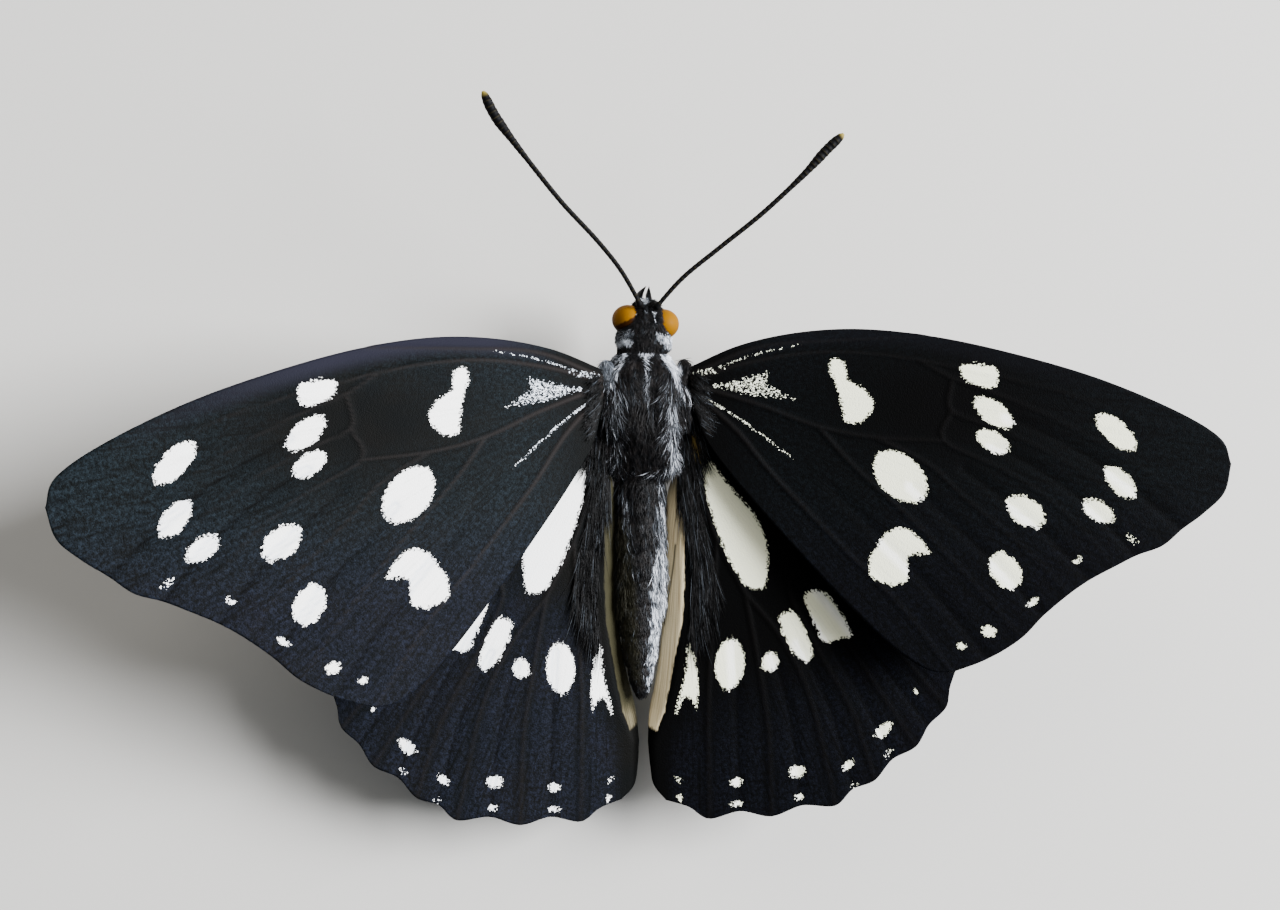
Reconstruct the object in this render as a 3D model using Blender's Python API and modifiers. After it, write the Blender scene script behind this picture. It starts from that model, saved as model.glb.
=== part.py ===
"""Hestina japonica at rest with its four wings spread, life size, standing on its legs.

Metres, +Z up, the head towards +Y.  The box of the whole animal is centred on x = y = 0 and
its feet stand on z = 0.  Wings and body are drawn in millimetres in the body's own frame,
whose origin lies between the wing roots.
"""
import math

import bmesh
import bpy
import numpy as np
from mathutils import Matrix, Vector
from mathutils.geometry import delaunay_2d_cdt

MM = 0.001
GAP = 0.3                     # between pieces that touch, in mm
SIDES = {"left": -1, "right": 1}

# Stance: the body's frame over the floor, the head held a little up.
BODY_HEIGHT = 8.6
BODY_PITCH = math.radians(5)

# Wings: (u, v) is out from the midline and back from the frame's origin, in mm.
MEMBRANE = 0.5
VEIN = 0.95
VEIN_THINNING = 0.3           # how much lower a vein stands at the wing's edge than at its root
VEIN_HALF_WIDTH = 0.42
VEIN_STEP = 1.9
WING_REACH = 41.0
PLAN_MIDDLE = (9, 9)          # inside both wings, to tell inward from outward
COSTA_DROOP = 0.03            # the front edge bends down by this times the square of its reach
COSTA_BEND_V = -2.0
FILL_STEP = 3.4
FILL_CLEARANCE = 1.3

FOREWING_COSTA = [(3.1, -3.4), (6.8, -4.9), (11.0, -5.7), (15.5, -5.8), (20.5, -5.1), (26.0, -3.7),
                  (32.0, -1.7), (37.4, 0.8), (40.3, 2.9)]
FOREWING_APEX = (41.1, 4.7)
FOREWING_VEIN_ENDS = [FOREWING_APEX, (39.0, 8.1), (36.0, 10.3), (32.5, 11.7), (29.3, 13.5), (25.8, 16.5),
                      (20.9, 18.7)]
FOREWING_SCALLOP = [-0.45, 0.1, 0.1, 0.1, 0.1, -0.25]
FOREWING_TRAILING = [(20.9, 18.7), (18.9, 18.3), (15.6, 15.6), (9.9, 9.2), (4.8, 2.7), (3.3, -0.9)]
RADIAL_START = (3.3, -2.6)
CUBITAL_START = (3.3, -2.2)
CELL_FORK = (12.2, 1.1)
CELL_END = (16.2, 2.0)
FOREWING_VEINS = {
    "subcosta": [(3.3, -2.9), (8.0, -4.7), (13.5, -5.0), (20.5, -5.1)],
    "radius": [RADIAL_START, (7.8, -3.7), (13.0, -4.2), (19.5, -3.4), (29.0, -0.9), (35.5, 1.6), (40.3, 2.9)],
    "media_1": [(19.5, -3.4), (21.8, -2.0), (24.4, -1.0), (29.0, 1.2), (33.4, 3.9), (39.0, 8.1)],
    "media_2": [(21.8, -2.0), (21.6, 0.3), (25.0, 1.7), (29.0, 3.9), (32.6, 6.6), (36.0, 10.3)],
    "media_3": [(21.6, 0.3), (21.0, 2.4), (25.3, 4.7), (29.2, 7.7), (32.5, 11.7)],
    "cubitus": [CUBITAL_START, (8.0, -0.6), CELL_FORK, CELL_END, (21.0, 2.4)],
    "cubitus_1": [CELL_END, (19.8, 4.0), (22.2, 6.4), (26.2, 10.1), (29.3, 13.5)],
    "cubitus_2": [CELL_FORK, (14.5, 3.9), (18.6, 8.0), (22.3, 12.1), (25.8, 16.5)],
    "anal": [(3.3, -1.7), (6.3, 1.1), (9.0, 4.6), (13.3, 9.4), (17.5, 14.0), (20.9, 18.7)],
}

HINDWING_COSTA = [(2.9, 0.7), (6.0, -0.4), (10.0, 0.6), (14.0, 2.9), (18.0, 6.6), (21.0, 10.8), (22.6, 15.0)]
HINDWING_VEIN_ENDS = [(22.5, 18.2), (21.7, 21.1), (19.5, 23.9), (16.5, 26.3), (13.6, 28.1), (9.0, 28.8),
                      (4.5, 28.9), (1.4, 27.5)]
HINDWING_SCALLOP = [0.1, 0.2, 0.35, 0.3, 0.4, 0.45, 0.2]
HINDWING_INNER = [(1.4, 27.5), (0.65, 26.4), (0.5, 25.0), (0.5, 23.5), (0.5, 21.5), (0.85, 19.2), (1.2, 16.0),
                  (1.35, 12.0), (1.45, 8.0), (2.0, 4.8), (2.9, 3.6)]
CREASE = [(3.0, 2.4), (3.0, 6.0), (3.0, 12.0), (2.85, 15.0), (2.6, 17.2), (2.2, 19.2), (1.7, 21.1), (1.1, 22.4),
          (0.75, 23.4)]
CREASE_RADIUS = 0.6
CREASE_TURN = math.radians(80)
CREASE_ROWS = (0.0, 0.3, 0.6, 0.84)
HIND_FORK = (5.2, 8.8)
HIND_CELL_END = (7.2, 12.7)
HINDWING_VEINS = {
    "subcosta": [(3.0, 1.3), (8.0, 2.2), (14.5, 6.4), (20.0, 12.6), (22.5, 18.2)],
    "radial_sector": [(3.0, 1.6), (6.5, 4.4), (10.5, 8.6), (16.0, 14.5), (21.7, 21.1)],
    "media_1": [(10.5, 8.6), (11.2, 11.0), (15.0, 17.0), (19.5, 23.9)],
    "media_2": [(11.2, 11.0), (10.4, 12.6), (12.4, 16.8), (14.8, 21.2), (16.5, 26.3)],
    "media_3": [HIND_CELL_END, (9.8, 16.0), (11.9, 20.5), (13.6, 28.1)],
    "cubitus": [(3.1, 2.2), (4.3, 6.0), HIND_FORK, HIND_CELL_END],
    "cubitus_1": [HIND_CELL_END, (8.0, 17.0), (8.8, 22.5), (9.0, 28.8)],
    "cubitus_2": [HIND_FORK, (4.9, 13.5), (4.5, 20.5), (4.5, 28.9)],
    "anal": CREASE,
}

# Each wing: sweep forward, rise towards the tip and twist, in degrees, and the root's lift in mm.
WING_POSES = {
    "forewing_left": (-0.7, 13.6, -3.9, 0.6),
    "forewing_right": (0.7, 12.6, -3.7, 0.6),
    "hindwing_left": (0.7, 8.9, 3.0, -0.4),
    "hindwing_right": (-0.7, 9.5, 1.0, -0.4),
}

# Body sections: y, half width, middle height, half height, in the body's frame.
THORAX = [(4.4, 2.0, -0.6, 1.45), (3.8, 2.45, -0.7, 1.95), (2.8, 2.65, -0.75, 2.4), (1.4, 2.7, -0.8, 2.65),
          (0.0, 2.65, -0.85, 2.65), (-1.4, 2.5, -0.95, 2.45), (-2.8, 2.15, -1.15, 2.05), (-3.8, 1.7, -1.4, 1.6)]
SHOULDER = ((1.95, 1.6, 0.75), (0.95, 2.3, 0.75))      # middle and half sizes of the wing hinge
HIND_HINGE = ((1.85, -1.9, -0.3), (0.75, 1.4, 0.65))
ABDOMEN_X = (-0.14, -0.4)       # its middle line at its front and at its tip
ABDOMEN = [(-4.1, 1.35, -1.45, 1.4), (-5.2, 1.6, -1.5, 1.62), (-7.4, 1.7, -1.55, 1.75), (-9.8, 1.72, -1.6, 1.75),
           (-12.2, 1.7, -1.6, 1.68), (-14.5, 1.55, -1.55, 1.52), (-16.6, 1.25, -1.45, 1.28),
           (-18.5, 0.88, -1.35, 0.95), (-19.7, 0.52, -1.25, 0.6), (-20.2, 0.2, -1.2, 0.28)]
SEGMENT_STEP = 0.04           # how far each abdomen ring's rear edge stands out, as a part of its size
HEAD_TURN = math.radians(-7)
NECK = (0.1, 4.7)
HEAD = [(4.9, 1.7, -0.65, 1.25), (5.3, 2.0, -0.6, 1.45), (5.9, 1.95, -0.6, 1.55), (6.5, 1.65, -0.6, 1.55),
        (7.3, 1.3, -0.65, 1.45), (8.1, 0.95, -0.75, 1.15), (8.5, 0.55, -0.8, 0.75)]
EYE_MIDDLE = (1.3, 6.87, -0.6)
EYE_RADII = (1.15, 1.08, 1.3)
EYE_INNER_X = 0.85
PALP = [((0.5, 8.3, -2.25), 0.26), ((0.48, 8.85, -1.85), 0.3), ((0.43, 9.08, -1.2), 0.27),
        ((0.36, 9.15, -0.5), 0.18)]
COIL_MIDDLE = (0.0, 7.6, -3.7)
COIL_RADII = (0.3, 1.15)
COIL_TURNS = 1.25
COIL_TUBE = 0.25

# Antennae as points above the body's frame, then shaft and club half widths.
ANTENNAE = {
    "left": [(-0.35, 8.15, 0.8), (-1.8, 10.4, 1.5), (-3.55, 12.4, 2.1), (-6.0, 14.8, 2.9), (-8.1, 17.0, 3.6),
             (-10.0, 19.7, 4.3), (-11.6, 22.1, 4.7)],
    "right": [(1.05, 7.95, 0.85), (2.8, 9.9, 1.5), (5.3, 11.9, 2.2), (8.2, 14.2, 3.1), (10.9, 16.7, 4.0),
              (12.6, 18.5, 4.4), (13.8, 19.6, 4.7)],
}
SHAFT_RADIUS = 0.25
CLUB_RADIUS = 0.4
CLUB_START = 0.74
TIP_RADIUS = 0.12

# Legs: hip in the body's frame, then knee, ankle and toe over the floor, in mm from the body's frame.
LEGS = {
    "midleg": ((1.15, 0.3, -3.95), (5.6, 2.6, 6.3), (9.2, 3.6, 0.6), (13.0, 5.4, 0.0)),
    "hindleg": ((1.1, -2.3, -3.7), (5.4, -6.2, 5.9), (8.4, -10.4, 0.6), (10.6, -14.2, 0.0)),
}
LEG_RADII = {"hip": 0.3, "femur": 0.45, "knee": 0.3, "tibia": 0.3, "tarsus": 0.26, "claw": 0.12}
FOOT_SINK = 0.7               # height of a foot over the floor, as a part of its radius: it is cut flat below
FORELEG = [(0.95, 3.5, -3.15), (1.0, 4.6, -3.75), (1.0, 5.5, -3.5), (1.0, 6.2, -2.85)]
FORELEG_RADIUS = 0.28

COLOURS = {
    "scales": ((0.02, 0.02, 0.028, 1), 0.6),
    "body": ((0.09, 0.085, 0.085, 1), 0.75),
    "eye": ((0.72, 0.3, 0.02, 1), 0.25),
    "antenna": ((0.03, 0.025, 0.02, 1), 0.5),
    "palp": ((0.5, 0.48, 0.45, 1), 0.8),
    "proboscis": ((0.3, 0.19, 0.06, 1), 0.4),
    "leg": ((0.12, 0.1, 0.07, 1), 0.55),
}


def clear_scene():
    """Start from an empty scene."""
    for old in list(bpy.data.objects):
        bpy.data.objects.remove(old, do_unlink=True)


def make_material(name):
    """A Principled material with one of the named colours."""
    colour, roughness = COLOURS[name]
    material = bpy.data.materials.new(name)
    material.use_nodes = True
    shader = material.node_tree.nodes["Principled BSDF"]
    shader.inputs["Base Color"].default_value = colour
    shader.inputs["Roughness"].default_value = roughness
    shader.inputs["Metallic"].default_value = 0.0
    return material


def add_object(name, mesh, material, parent, collection):
    """Wrap a mesh in an object under its parent, shaded smooth but for its sharp edges."""
    piece = bpy.data.objects.new(name, mesh)
    collection.objects.link(piece)
    piece.parent = parent
    if material:
        mesh.materials.clear()
        mesh.materials.append(material)
    mesh.shade_smooth()
    mesh.set_sharp_from_angle(angle=math.radians(40))
    return piece


def bm_to_mesh(name, bm):
    """Finish a bmesh as a mesh in metres with its faces pointing out."""
    bmesh.ops.scale(bm, vec=(MM, MM, MM), verts=bm.verts)
    mesh = bpy.data.meshes.new(name)
    bm.to_mesh(mesh)
    bm.free()
    return mesh


def smooth_line(points, step):
    """Points about one step apart on the Catmull-Rom curve through the given ones, which it keeps."""
    ends = [Vector(points[0]) * 2 - Vector(points[1]), Vector(points[-1]) * 2 - Vector(points[-2])]
    ring = [ends[0]] + [Vector(p) for p in points] + [ends[1]]
    line = []
    for a, b, c, d in zip(ring, ring[1:], ring[2:], ring[3:]):
        count = max(1, round((c - b).length / step))
        for i in range(count):
            t = i / count
            line.append((b * 2 + (c - a) * t + (a * 2 - b * 5 + c * 4 - d) * t * t
                         + (b * 3 - a - c * 3 + d) * t ** 3) / 2)
    return line + [ring[-2]]


def scalloped_margin(ends, dips):
    """The outer edge from vein end to vein end, drawn in by each dip half way between them."""
    line = [Vector(ends[0])]
    for a, b, dip in zip(ends, ends[1:], dips):
        a, b = Vector(a), Vector(b)
        along = (b - a).normalized()
        inward = Vector((-along.y, along.x)) * -1
        middle = (a + b) / 2
        if inward.dot(Vector(PLAN_MIDDLE) - middle) < 0:
            inward = -inward
        line += [middle + inward * dip, b]
    return line


def nearest_on_lines(point, lines):
    """The distance from a point to the nearest of the lines."""
    best = math.inf
    for line in lines:
        for a, b in zip(line, line[1:]):
            run = b - a
            t = max(0.0, min(1.0, (point - a).dot(run) / run.length_squared))
            best = min(best, (point - a - run * t).length)
    return best


def inside(point, outline):
    """Whether a point lies inside the outline."""
    hit = False
    for a, b in zip(outline, outline[1:] + outline[:1]):
        if (a.y > point.y) != (b.y > point.y):
            if point.x < a.x + (b.x - a.x) * (point.y - a.y) / (b.y - a.y):
                hit = not hit
    return hit


def vein_flanks(lines, outline):
    """Points at both feet of each vein's ridge, where no other vein or edge is too near."""
    edge = outline + outline[:1]
    flanks = []
    for line in lines:
        for a, b in zip(line, line[1:]):
            along = (b - a).normalized()
            across = Vector((-along.y, along.x)) * VEIN_HALF_WIDTH
            for side in (-1, 1):
                point = (a + b) / 2 + across * side
                if not inside(point, outline) or nearest_on_lines(point, [edge]) < VEIN_HALF_WIDTH:
                    continue
                if nearest_on_lines(point, lines) > VEIN_HALF_WIDTH * 0.8:
                    flanks.append(point)
    return flanks


def fill_points(lines, outline):
    """A loose grid over the membrane between the veins."""
    edge = outline + outline[:1]
    low = [min(p[i] for p in outline) for i in (0, 1)]
    high = [max(p[i] for p in outline) for i in (0, 1)]
    points = []
    for i, v in enumerate(np.arange(low[1], high[1], FILL_STEP)):
        for u in np.arange(low[0] + (i % 2) * FILL_STEP / 2, high[0], FILL_STEP):
            point = Vector((u, v))
            if inside(point, outline) and nearest_on_lines(point, lines + [edge]) > FILL_CLEARANCE:
                points.append(point)
    return points


def thickness_at(point, lines):
    """Membrane between the veins, rising to the ridge on a vein and a little thicker at the root."""
    reach = min(1.0, point.length / WING_REACH)
    ridge = VEIN - VEIN_THINNING * reach
    near = max(0.0, 1.0 - nearest_on_lines(point, lines) / VEIN_HALF_WIDTH)
    root = max(0.0, 1.0 - point.length / 6.0) * 0.2
    return min(VEIN, MEMBRANE + (ridge - MEMBRANE) * near + root)


def crease_at(v):
    """How far out the hindwing's crease runs at v."""
    return float(np.interp(v, [p[1] for p in CREASE], [p[0] for p in CREASE]))


def forewing_surface(point):
    """The forewing's middle surface: flat, with the front edge bent down."""
    reach = max(0.0, COSTA_BEND_V - point.y)
    return Vector((point.x, -point.y, -COSTA_DROOP * reach * reach))


def hindwing_surface(point):
    """The hindwing's middle surface: flat, with the inner part folded down along the crease."""
    crease = crease_at(point.y)
    past = crease - point.x
    if past <= 0:
        return Vector((point.x, -point.y, 0))
    arc = min(past, CREASE_RADIUS * CREASE_TURN)
    angle = arc / CREASE_RADIUS
    rest = past - arc
    x = crease - CREASE_RADIUS * math.sin(angle) - rest * math.cos(angle)
    z = -CREASE_RADIUS * (1 - math.cos(angle)) - rest * math.sin(angle)
    return Vector((x, -point.y, z))


def wing_mesh(name, outline, lines, extra_points, surface, side):
    """Triangulate the outline with the veins as its edges and lay it on the wing's surface."""
    points, edges, known = [], [], {}

    def index_of(point):
        key = (round(point.x, 4), round(point.y, 4))
        if key not in known:
            known[key] = len(points)
            points.append(Vector(key))
        return known[key]

    loop = [index_of(p) for p in outline]
    for line in lines:
        ids = [index_of(p) for p in line]
        edges += [(a, b) for a, b in zip(ids, ids[1:]) if a != b]
    edges += list(zip(loop, loop[1:] + loop[:1]))
    for point in extra_points:
        index_of(point)
    flat, _, faces, *_ = delaunay_2d_cdt(points, edges, [loop], 1, 1e-4)
    bm = bmesh.new()
    weights = bm.verts.layers.deform.verify()
    for point in flat:
        x, y, z = surface(point)
        vert = bm.verts.new((x * side, y, z))
        vert[weights][0] = thickness_at(point, lines) / VEIN
    bm.verts.ensure_lookup_table()
    for face in faces:
        bm.faces.new([bm.verts[i] for i in face])
    bmesh.ops.recalc_face_normals(bm, faces=bm.faces)
    if sum(face.normal.z for face in bm.faces) < 0:
        bmesh.ops.reverse_faces(bm, faces=bm.faces)
    return bm_to_mesh(name, bm)


def make_wing(name, side, outline, veins, crease_rows, surface, material, body, collection):
    """One wing: a sheet on its surface, thick on the veins, set at its own pose."""
    lines = [smooth_line(points, VEIN_STEP) for points in veins.values()]
    rows = [[Vector((crease_at(p[1]) - offset, p[1])) for p in smooth_line(CREASE[1:-1], VEIN_STEP)]
            for offset in crease_rows]
    extra = vein_flanks(lines, outline) + [p for row in rows for p in row if inside(p, outline)]
    extra += [p for p in fill_points(lines + rows, outline)]
    mesh = wing_mesh(name, outline, lines, extra, surface, side)
    wing = add_object(name, mesh, material, body, collection)
    wing.vertex_groups.new(name="thickness")
    sweep, rise, twist, lift = WING_POSES[name]
    wing.rotation_euler = [math.radians(a) for a in (twist, -rise * side, sweep * side)]
    wing.location = (0, 0, lift * MM)
    solid = wing.modifiers.new("thickness", "SOLIDIFY")
    solid.thickness = VEIN * MM
    solid.offset = 0
    solid.vertex_group = "thickness"
    return wing


def make_wings(material, body, collection):
    """Both forewings and both hindwings from one mirrored plan each."""
    fore_outline = (smooth_line(FOREWING_COSTA + [FOREWING_APEX], 2 * VEIN_STEP)
                    + scalloped_margin(FOREWING_VEIN_ENDS, FOREWING_SCALLOP)[1:]
                    + smooth_line(FOREWING_TRAILING, 2 * VEIN_STEP)[1:])
    hind_outline = (smooth_line(HINDWING_COSTA + HINDWING_VEIN_ENDS[:1], 2 * VEIN_STEP)
                    + scalloped_margin(HINDWING_VEIN_ENDS, HINDWING_SCALLOP)[1:]
                    + smooth_line(HINDWING_INNER, VEIN_STEP)[1:])
    for name, side in SIDES.items():
        make_wing("forewing_" + name, side, fore_outline, FOREWING_VEINS, (), forewing_surface,
                  material, body, collection)
        make_wing("hindwing_" + name, side, hind_outline, HINDWING_VEINS, CREASE_ROWS, hindwing_surface,
                  material, body, collection)


def body_loft(sections, sides, squareness=2.3, middle_x=(0.0, 0.0)):
    """A closed bmesh through upright oval sections along the body, capped flat at both ends.

    Its middle line runs straight from the first middle_x to the second.
    """
    bm = bmesh.new()
    rings = []
    ends = (sections[0][0], sections[-1][0])
    for y, half_width, middle, half_height in sections:
        shift = middle_x[0] + (middle_x[1] - middle_x[0]) * (y - ends[0]) / (ends[1] - ends[0])
        ring = []
        for i in range(sides):
            angle = 2 * math.pi * i / sides
            c, s = math.cos(angle), math.sin(angle)
            x = math.copysign(abs(c) ** (2 / squareness), c) * half_width
            z = math.copysign(abs(s) ** (2 / squareness), s) * half_height
            ring.append(bm.verts.new((shift + x, y, middle + z)))
        rings.append(ring)
    for a, b in zip(rings, rings[1:]):
        for i in range(sides):
            j = (i + 1) % sides
            bm.faces.new((a[i], a[j], b[j], b[i]))
    bm.faces.new(rings[0])
    bm.faces.new(list(reversed(rings[-1])))
    bmesh.ops.recalc_face_normals(bm, faces=bm.faces)
    return bm


def ellipsoid(middle, radii, segments=20, rings=12):
    """An ellipsoid bmesh from a UV sphere."""
    bm = bmesh.new()
    bmesh.ops.create_uvsphere(bm, u_segments=segments, v_segments=rings, radius=1)
    bmesh.ops.scale(bm, vec=radii, verts=bm.verts)
    bmesh.ops.translate(bm, vec=middle, verts=bm.verts)
    return bm


def finer_sections(sections, count):
    """Sections read evenly from the smooth lines through the given ones."""
    spread = np.array(smooth_line([Vector(s) for s in sections], 0.2))
    spread = spread[np.argsort(spread[:, 0])]
    places = np.linspace(sections[0][0], sections[-1][0], count)
    return [tuple(np.interp(y, spread[:, 0], spread[:, i]) for i in range(4)) for y in places]


def union_into(base, helpers):
    """Join closed helper objects into the base with one applied Boolean union."""
    group = bpy.data.collections.new(base.name + "_joined")
    for helper in helpers:
        group.objects.link(helper)
    joint = base.modifiers.new("joined", "BOOLEAN")
    joint.operation = "UNION"
    joint.operand_type = "COLLECTION"
    joint.collection = group
    joint.solver = "EXACT"
    apply_modifiers(base)
    for helper in helpers:
        bpy.data.objects.remove(helper, do_unlink=True)
    bpy.data.collections.remove(group)


def apply_modifiers(piece):
    """Make an object's evaluated mesh its own."""
    bpy.context.view_layer.update()
    seen = piece.evaluated_get(bpy.context.evaluated_depsgraph_get())
    mesh = bpy.data.meshes.new_from_object(seen)
    piece.modifiers.clear()
    piece.data = mesh


def make_thorax(material, body, collection):
    """The thorax with the raised hinges that carry the wings."""
    mesh = bm_to_mesh("thorax", body_loft(finer_sections(THORAX, 16), 28))
    thorax = add_object("thorax", mesh, material, body, collection)
    hinges = []
    for side in SIDES.values():
        for (x, y, z), radii in (SHOULDER, HIND_HINGE):
            bump = bm_to_mesh("hinge", ellipsoid((x * side, y, z), radii, 16, 10))
            hinges.append(add_object("hinge", bump, None, body, collection))
    union_into(thorax, hinges)


def make_abdomen(material, body, collection):
    """The abdomen as rings that each end in a low step."""
    sections = []
    for i, (y, half_width, middle, half_height) in enumerate(finer_sections(ABDOMEN, 28)):
        grown = 1 + (SEGMENT_STEP if i % 3 == 2 and i < 25 else 0)
        sections.append((y, half_width * grown, middle, half_height * grown))
    mesh = bm_to_mesh("abdomen", body_loft(sections, 20, 2.1, ABDOMEN_X))
    add_object("abdomen", mesh, material, body, collection)


def eye_mesh(name, side, grown):
    """A dome: an ellipsoid cut flat on its inner side, grown all round by the given distance."""
    x, y, z = EYE_MIDDLE
    bm = ellipsoid((x * side, y, z), [r + grown for r in EYE_RADII], 24, 16)
    result = bmesh.ops.bisect_plane(bm, geom=bm.verts[:] + bm.edges[:] + bm.faces[:],
                                    plane_co=((EYE_INNER_X - grown) * side, 0, 0),
                                    plane_no=(-side, 0, 0), clear_outer=True)
    rim = [e for e in result["geom_cut"] if isinstance(e, bmesh.types.BMEdge)]
    bmesh.ops.edgeloop_fill(bm, edges=rim)
    bmesh.ops.recalc_face_normals(bm, faces=bm.faces)
    return bm_to_mesh(name, bm)


def make_head(materials, neck, collection, cutters):
    """The head between its two eyes, each of which sits in a socket."""
    turned = [(y - NECK[1], w, z, h) for y, w, z, h in finer_sections(HEAD, 13)]
    head = add_object("head", bm_to_mesh("head", body_loft(turned, 24)), materials["body"], neck, collection)
    for name, side in SIDES.items():
        for kind, grown in (("eye_", 0.0), ("socket_", GAP)):
            mesh = eye_mesh(kind + name, side, grown)
            mesh.transform(Matrix.Translation((0, -NECK[1] * MM, 0)))
            if kind == "eye_":
                add_object(kind + name, mesh, materials["eye"], neck, collection)
                continue
            cutter = add_object(kind + name, mesh, None, neck, cutters)
            cutter.hide_render = True
            cutter.display_type = "WIRE"
            cut = head.modifiers.new(kind + name, "BOOLEAN")
            cut.operation = "DIFFERENCE"
            cut.object = cutter
            cut.solver = "EXACT"


def tube_mesh(name, points, radii, detail=2):
    """A capped tube through the points, as one closed mesh in mm."""
    curve = bpy.data.curves.new(name, "CURVE")
    curve.dimensions = "3D"
    curve.bevel_depth = 1.0
    curve.bevel_resolution = detail
    curve.use_fill_caps = True
    spline = curve.splines.new("POLY")
    spline.points.add(len(points) - 1)
    for slot, point, radius in zip(spline.points, points, radii):
        slot.co = (*point, 1)
        slot.radius = radius
    helper = bpy.data.objects.new(name, curve)
    bpy.context.scene.collection.objects.link(helper)
    bpy.context.view_layer.update()
    mesh = bpy.data.meshes.new_from_object(helper.evaluated_get(bpy.context.evaluated_depsgraph_get()))
    bpy.data.objects.remove(helper, do_unlink=True)
    bpy.data.curves.remove(curve)
    bm = bmesh.new()
    bm.from_mesh(mesh)
    bmesh.ops.remove_doubles(bm, verts=bm.verts, dist=1e-4)
    bmesh.ops.recalc_face_normals(bm, faces=bm.faces)
    bpy.data.meshes.remove(mesh)
    return bm


def spread_radii(points, named):
    """A radius for each point, read between the named (part of the length, radius) pairs."""
    lengths = [0.0]
    for a, b in zip(points, points[1:]):
        lengths.append(lengths[-1] + (b - a).length)
    return [float(np.interp(d / lengths[-1], [n[0] for n in named], [n[1] for n in named])) for d in lengths]


def make_antennae(material, body, collection):
    """The two feelers, each a thin shaft that swells into a long club."""
    for name, points in ANTENNAE.items():
        line = smooth_line(points, 0.95)
        radii = spread_radii(line, [(0, SHAFT_RADIUS * 1.2), (0.05, SHAFT_RADIUS), (CLUB_START, SHAFT_RADIUS),
                                    (0.88, CLUB_RADIUS), (0.96, CLUB_RADIUS * 0.85), (1, TIP_RADIUS)])
        add_object("antenna_" + name, bm_to_mesh("antenna_" + name, tube_mesh("antenna", line, radii)),
                   material, body, collection)


def make_mouthparts(materials, neck, collection):
    """The two palps and the coiled proboscis under the face."""
    for name, side in SIDES.items():
        points = [Vector((x * side, y - NECK[1], z)) for (x, y, z), _ in PALP]
        line = smooth_line(points, 0.25)
        radii = spread_radii(line, [(i / (len(PALP) - 1), radius) for i, (_, radius) in enumerate(PALP)])
        add_object("palp_" + name, bm_to_mesh("palp_" + name, tube_mesh("palp", line, radii)),
                   materials["palp"], neck, collection)
    x, y, z = COIL_MIDDLE
    inner, outer = COIL_RADII
    steps = int(COIL_TURNS * 16)
    line = []
    for i in range(steps + 1):
        angle = math.pi / 2 - 2 * math.pi * COIL_TURNS * i / steps
        radius = outer + (inner - outer) * i / steps
        line.append(Vector((x, y - NECK[1] + radius * math.cos(angle), z + radius * math.sin(angle))))
    mesh = bm_to_mesh("proboscis", tube_mesh("proboscis", line, [COIL_TUBE] * len(line)))
    add_object("proboscis", mesh, materials["proboscis"], neck, collection)


def to_floor_frame(point):
    """A point of the body's frame as millimetres over the floor."""
    turn = Matrix.Rotation(BODY_PITCH, 3, "X")
    return turn @ Vector(point) + Vector((0, 0, BODY_HEIGHT))


def leg_line(hip, knee, ankle, toe, side):
    """A leg's middle line with its radii: thigh, shin and a foot that lies on the floor."""
    mirrored = [Vector((p[0] * side, p[1], p[2])) for p in (to_floor_frame(hip), knee, ankle, toe)]
    hip, knee, ankle, toe = mirrored
    tarsus = LEG_RADII["tarsus"]
    knee_in = knee + (hip - knee).normalized() * 0.5
    knee_out = knee + (ankle - knee).normalized() * 0.5
    foot = ankle + (toe - ankle) * 0.18
    foot.z = tarsus * FOOT_SINK
    toe = Vector((toe.x, toe.y, foot.z))
    line = [hip, hip.lerp(knee, 0.15), hip.lerp(knee, 0.5), knee_in, knee, knee_out,
            knee.lerp(ankle, 0.5), ankle]
    radii = [LEG_RADII[n] for n in ("hip", "femur", "femur", "knee", "knee", "knee", "tibia", "tibia")]
    pads = 5
    for i in range(pads):
        line.append(foot.lerp(toe, i / pads))
        radii.append(tarsus)
    return line + [toe], radii + [LEG_RADII["claw"]]


def make_legs(material, stand, body, collection):
    """Four walking legs on the floor and the two short folded forelegs."""
    for kind, places in LEGS.items():
        for name, side in SIDES.items():
            line, radii = leg_line(*places, side)
            bm = tube_mesh(kind, line, radii)
            for vert in bm.verts:
                vert.co.z = max(0.0, vert.co.z)
            label = kind + "_" + name
            add_object(label, bm_to_mesh(label, bm), material, stand, collection)
    for name, side in SIDES.items():
        line = smooth_line([Vector((x * side, y, z)) for x, y, z in FORELEG], 0.7)
        radii = spread_radii(line, [(0, FORELEG_RADIUS), (0.85, FORELEG_RADIUS), (1, TIP_RADIUS)])
        label = "foreleg_" + name
        add_object(label, bm_to_mesh(label, tube_mesh(label, line, radii)), material, body, collection)


def centre_on_floor(stand, collection):
    """Move the whole animal so that its box is centred over the origin."""
    bpy.context.view_layer.update()
    graph = bpy.context.evaluated_depsgraph_get()
    corners = []
    for piece in collection.objects:
        if piece.type == "MESH":
            seen = piece.evaluated_get(graph)
            corners += [seen.matrix_world @ v.co for v in seen.data.vertices]
    for axis in (0, 1):
        values = [c[axis] for c in corners]
        stand.location[axis] = -(min(values) + max(values)) / 2


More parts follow.
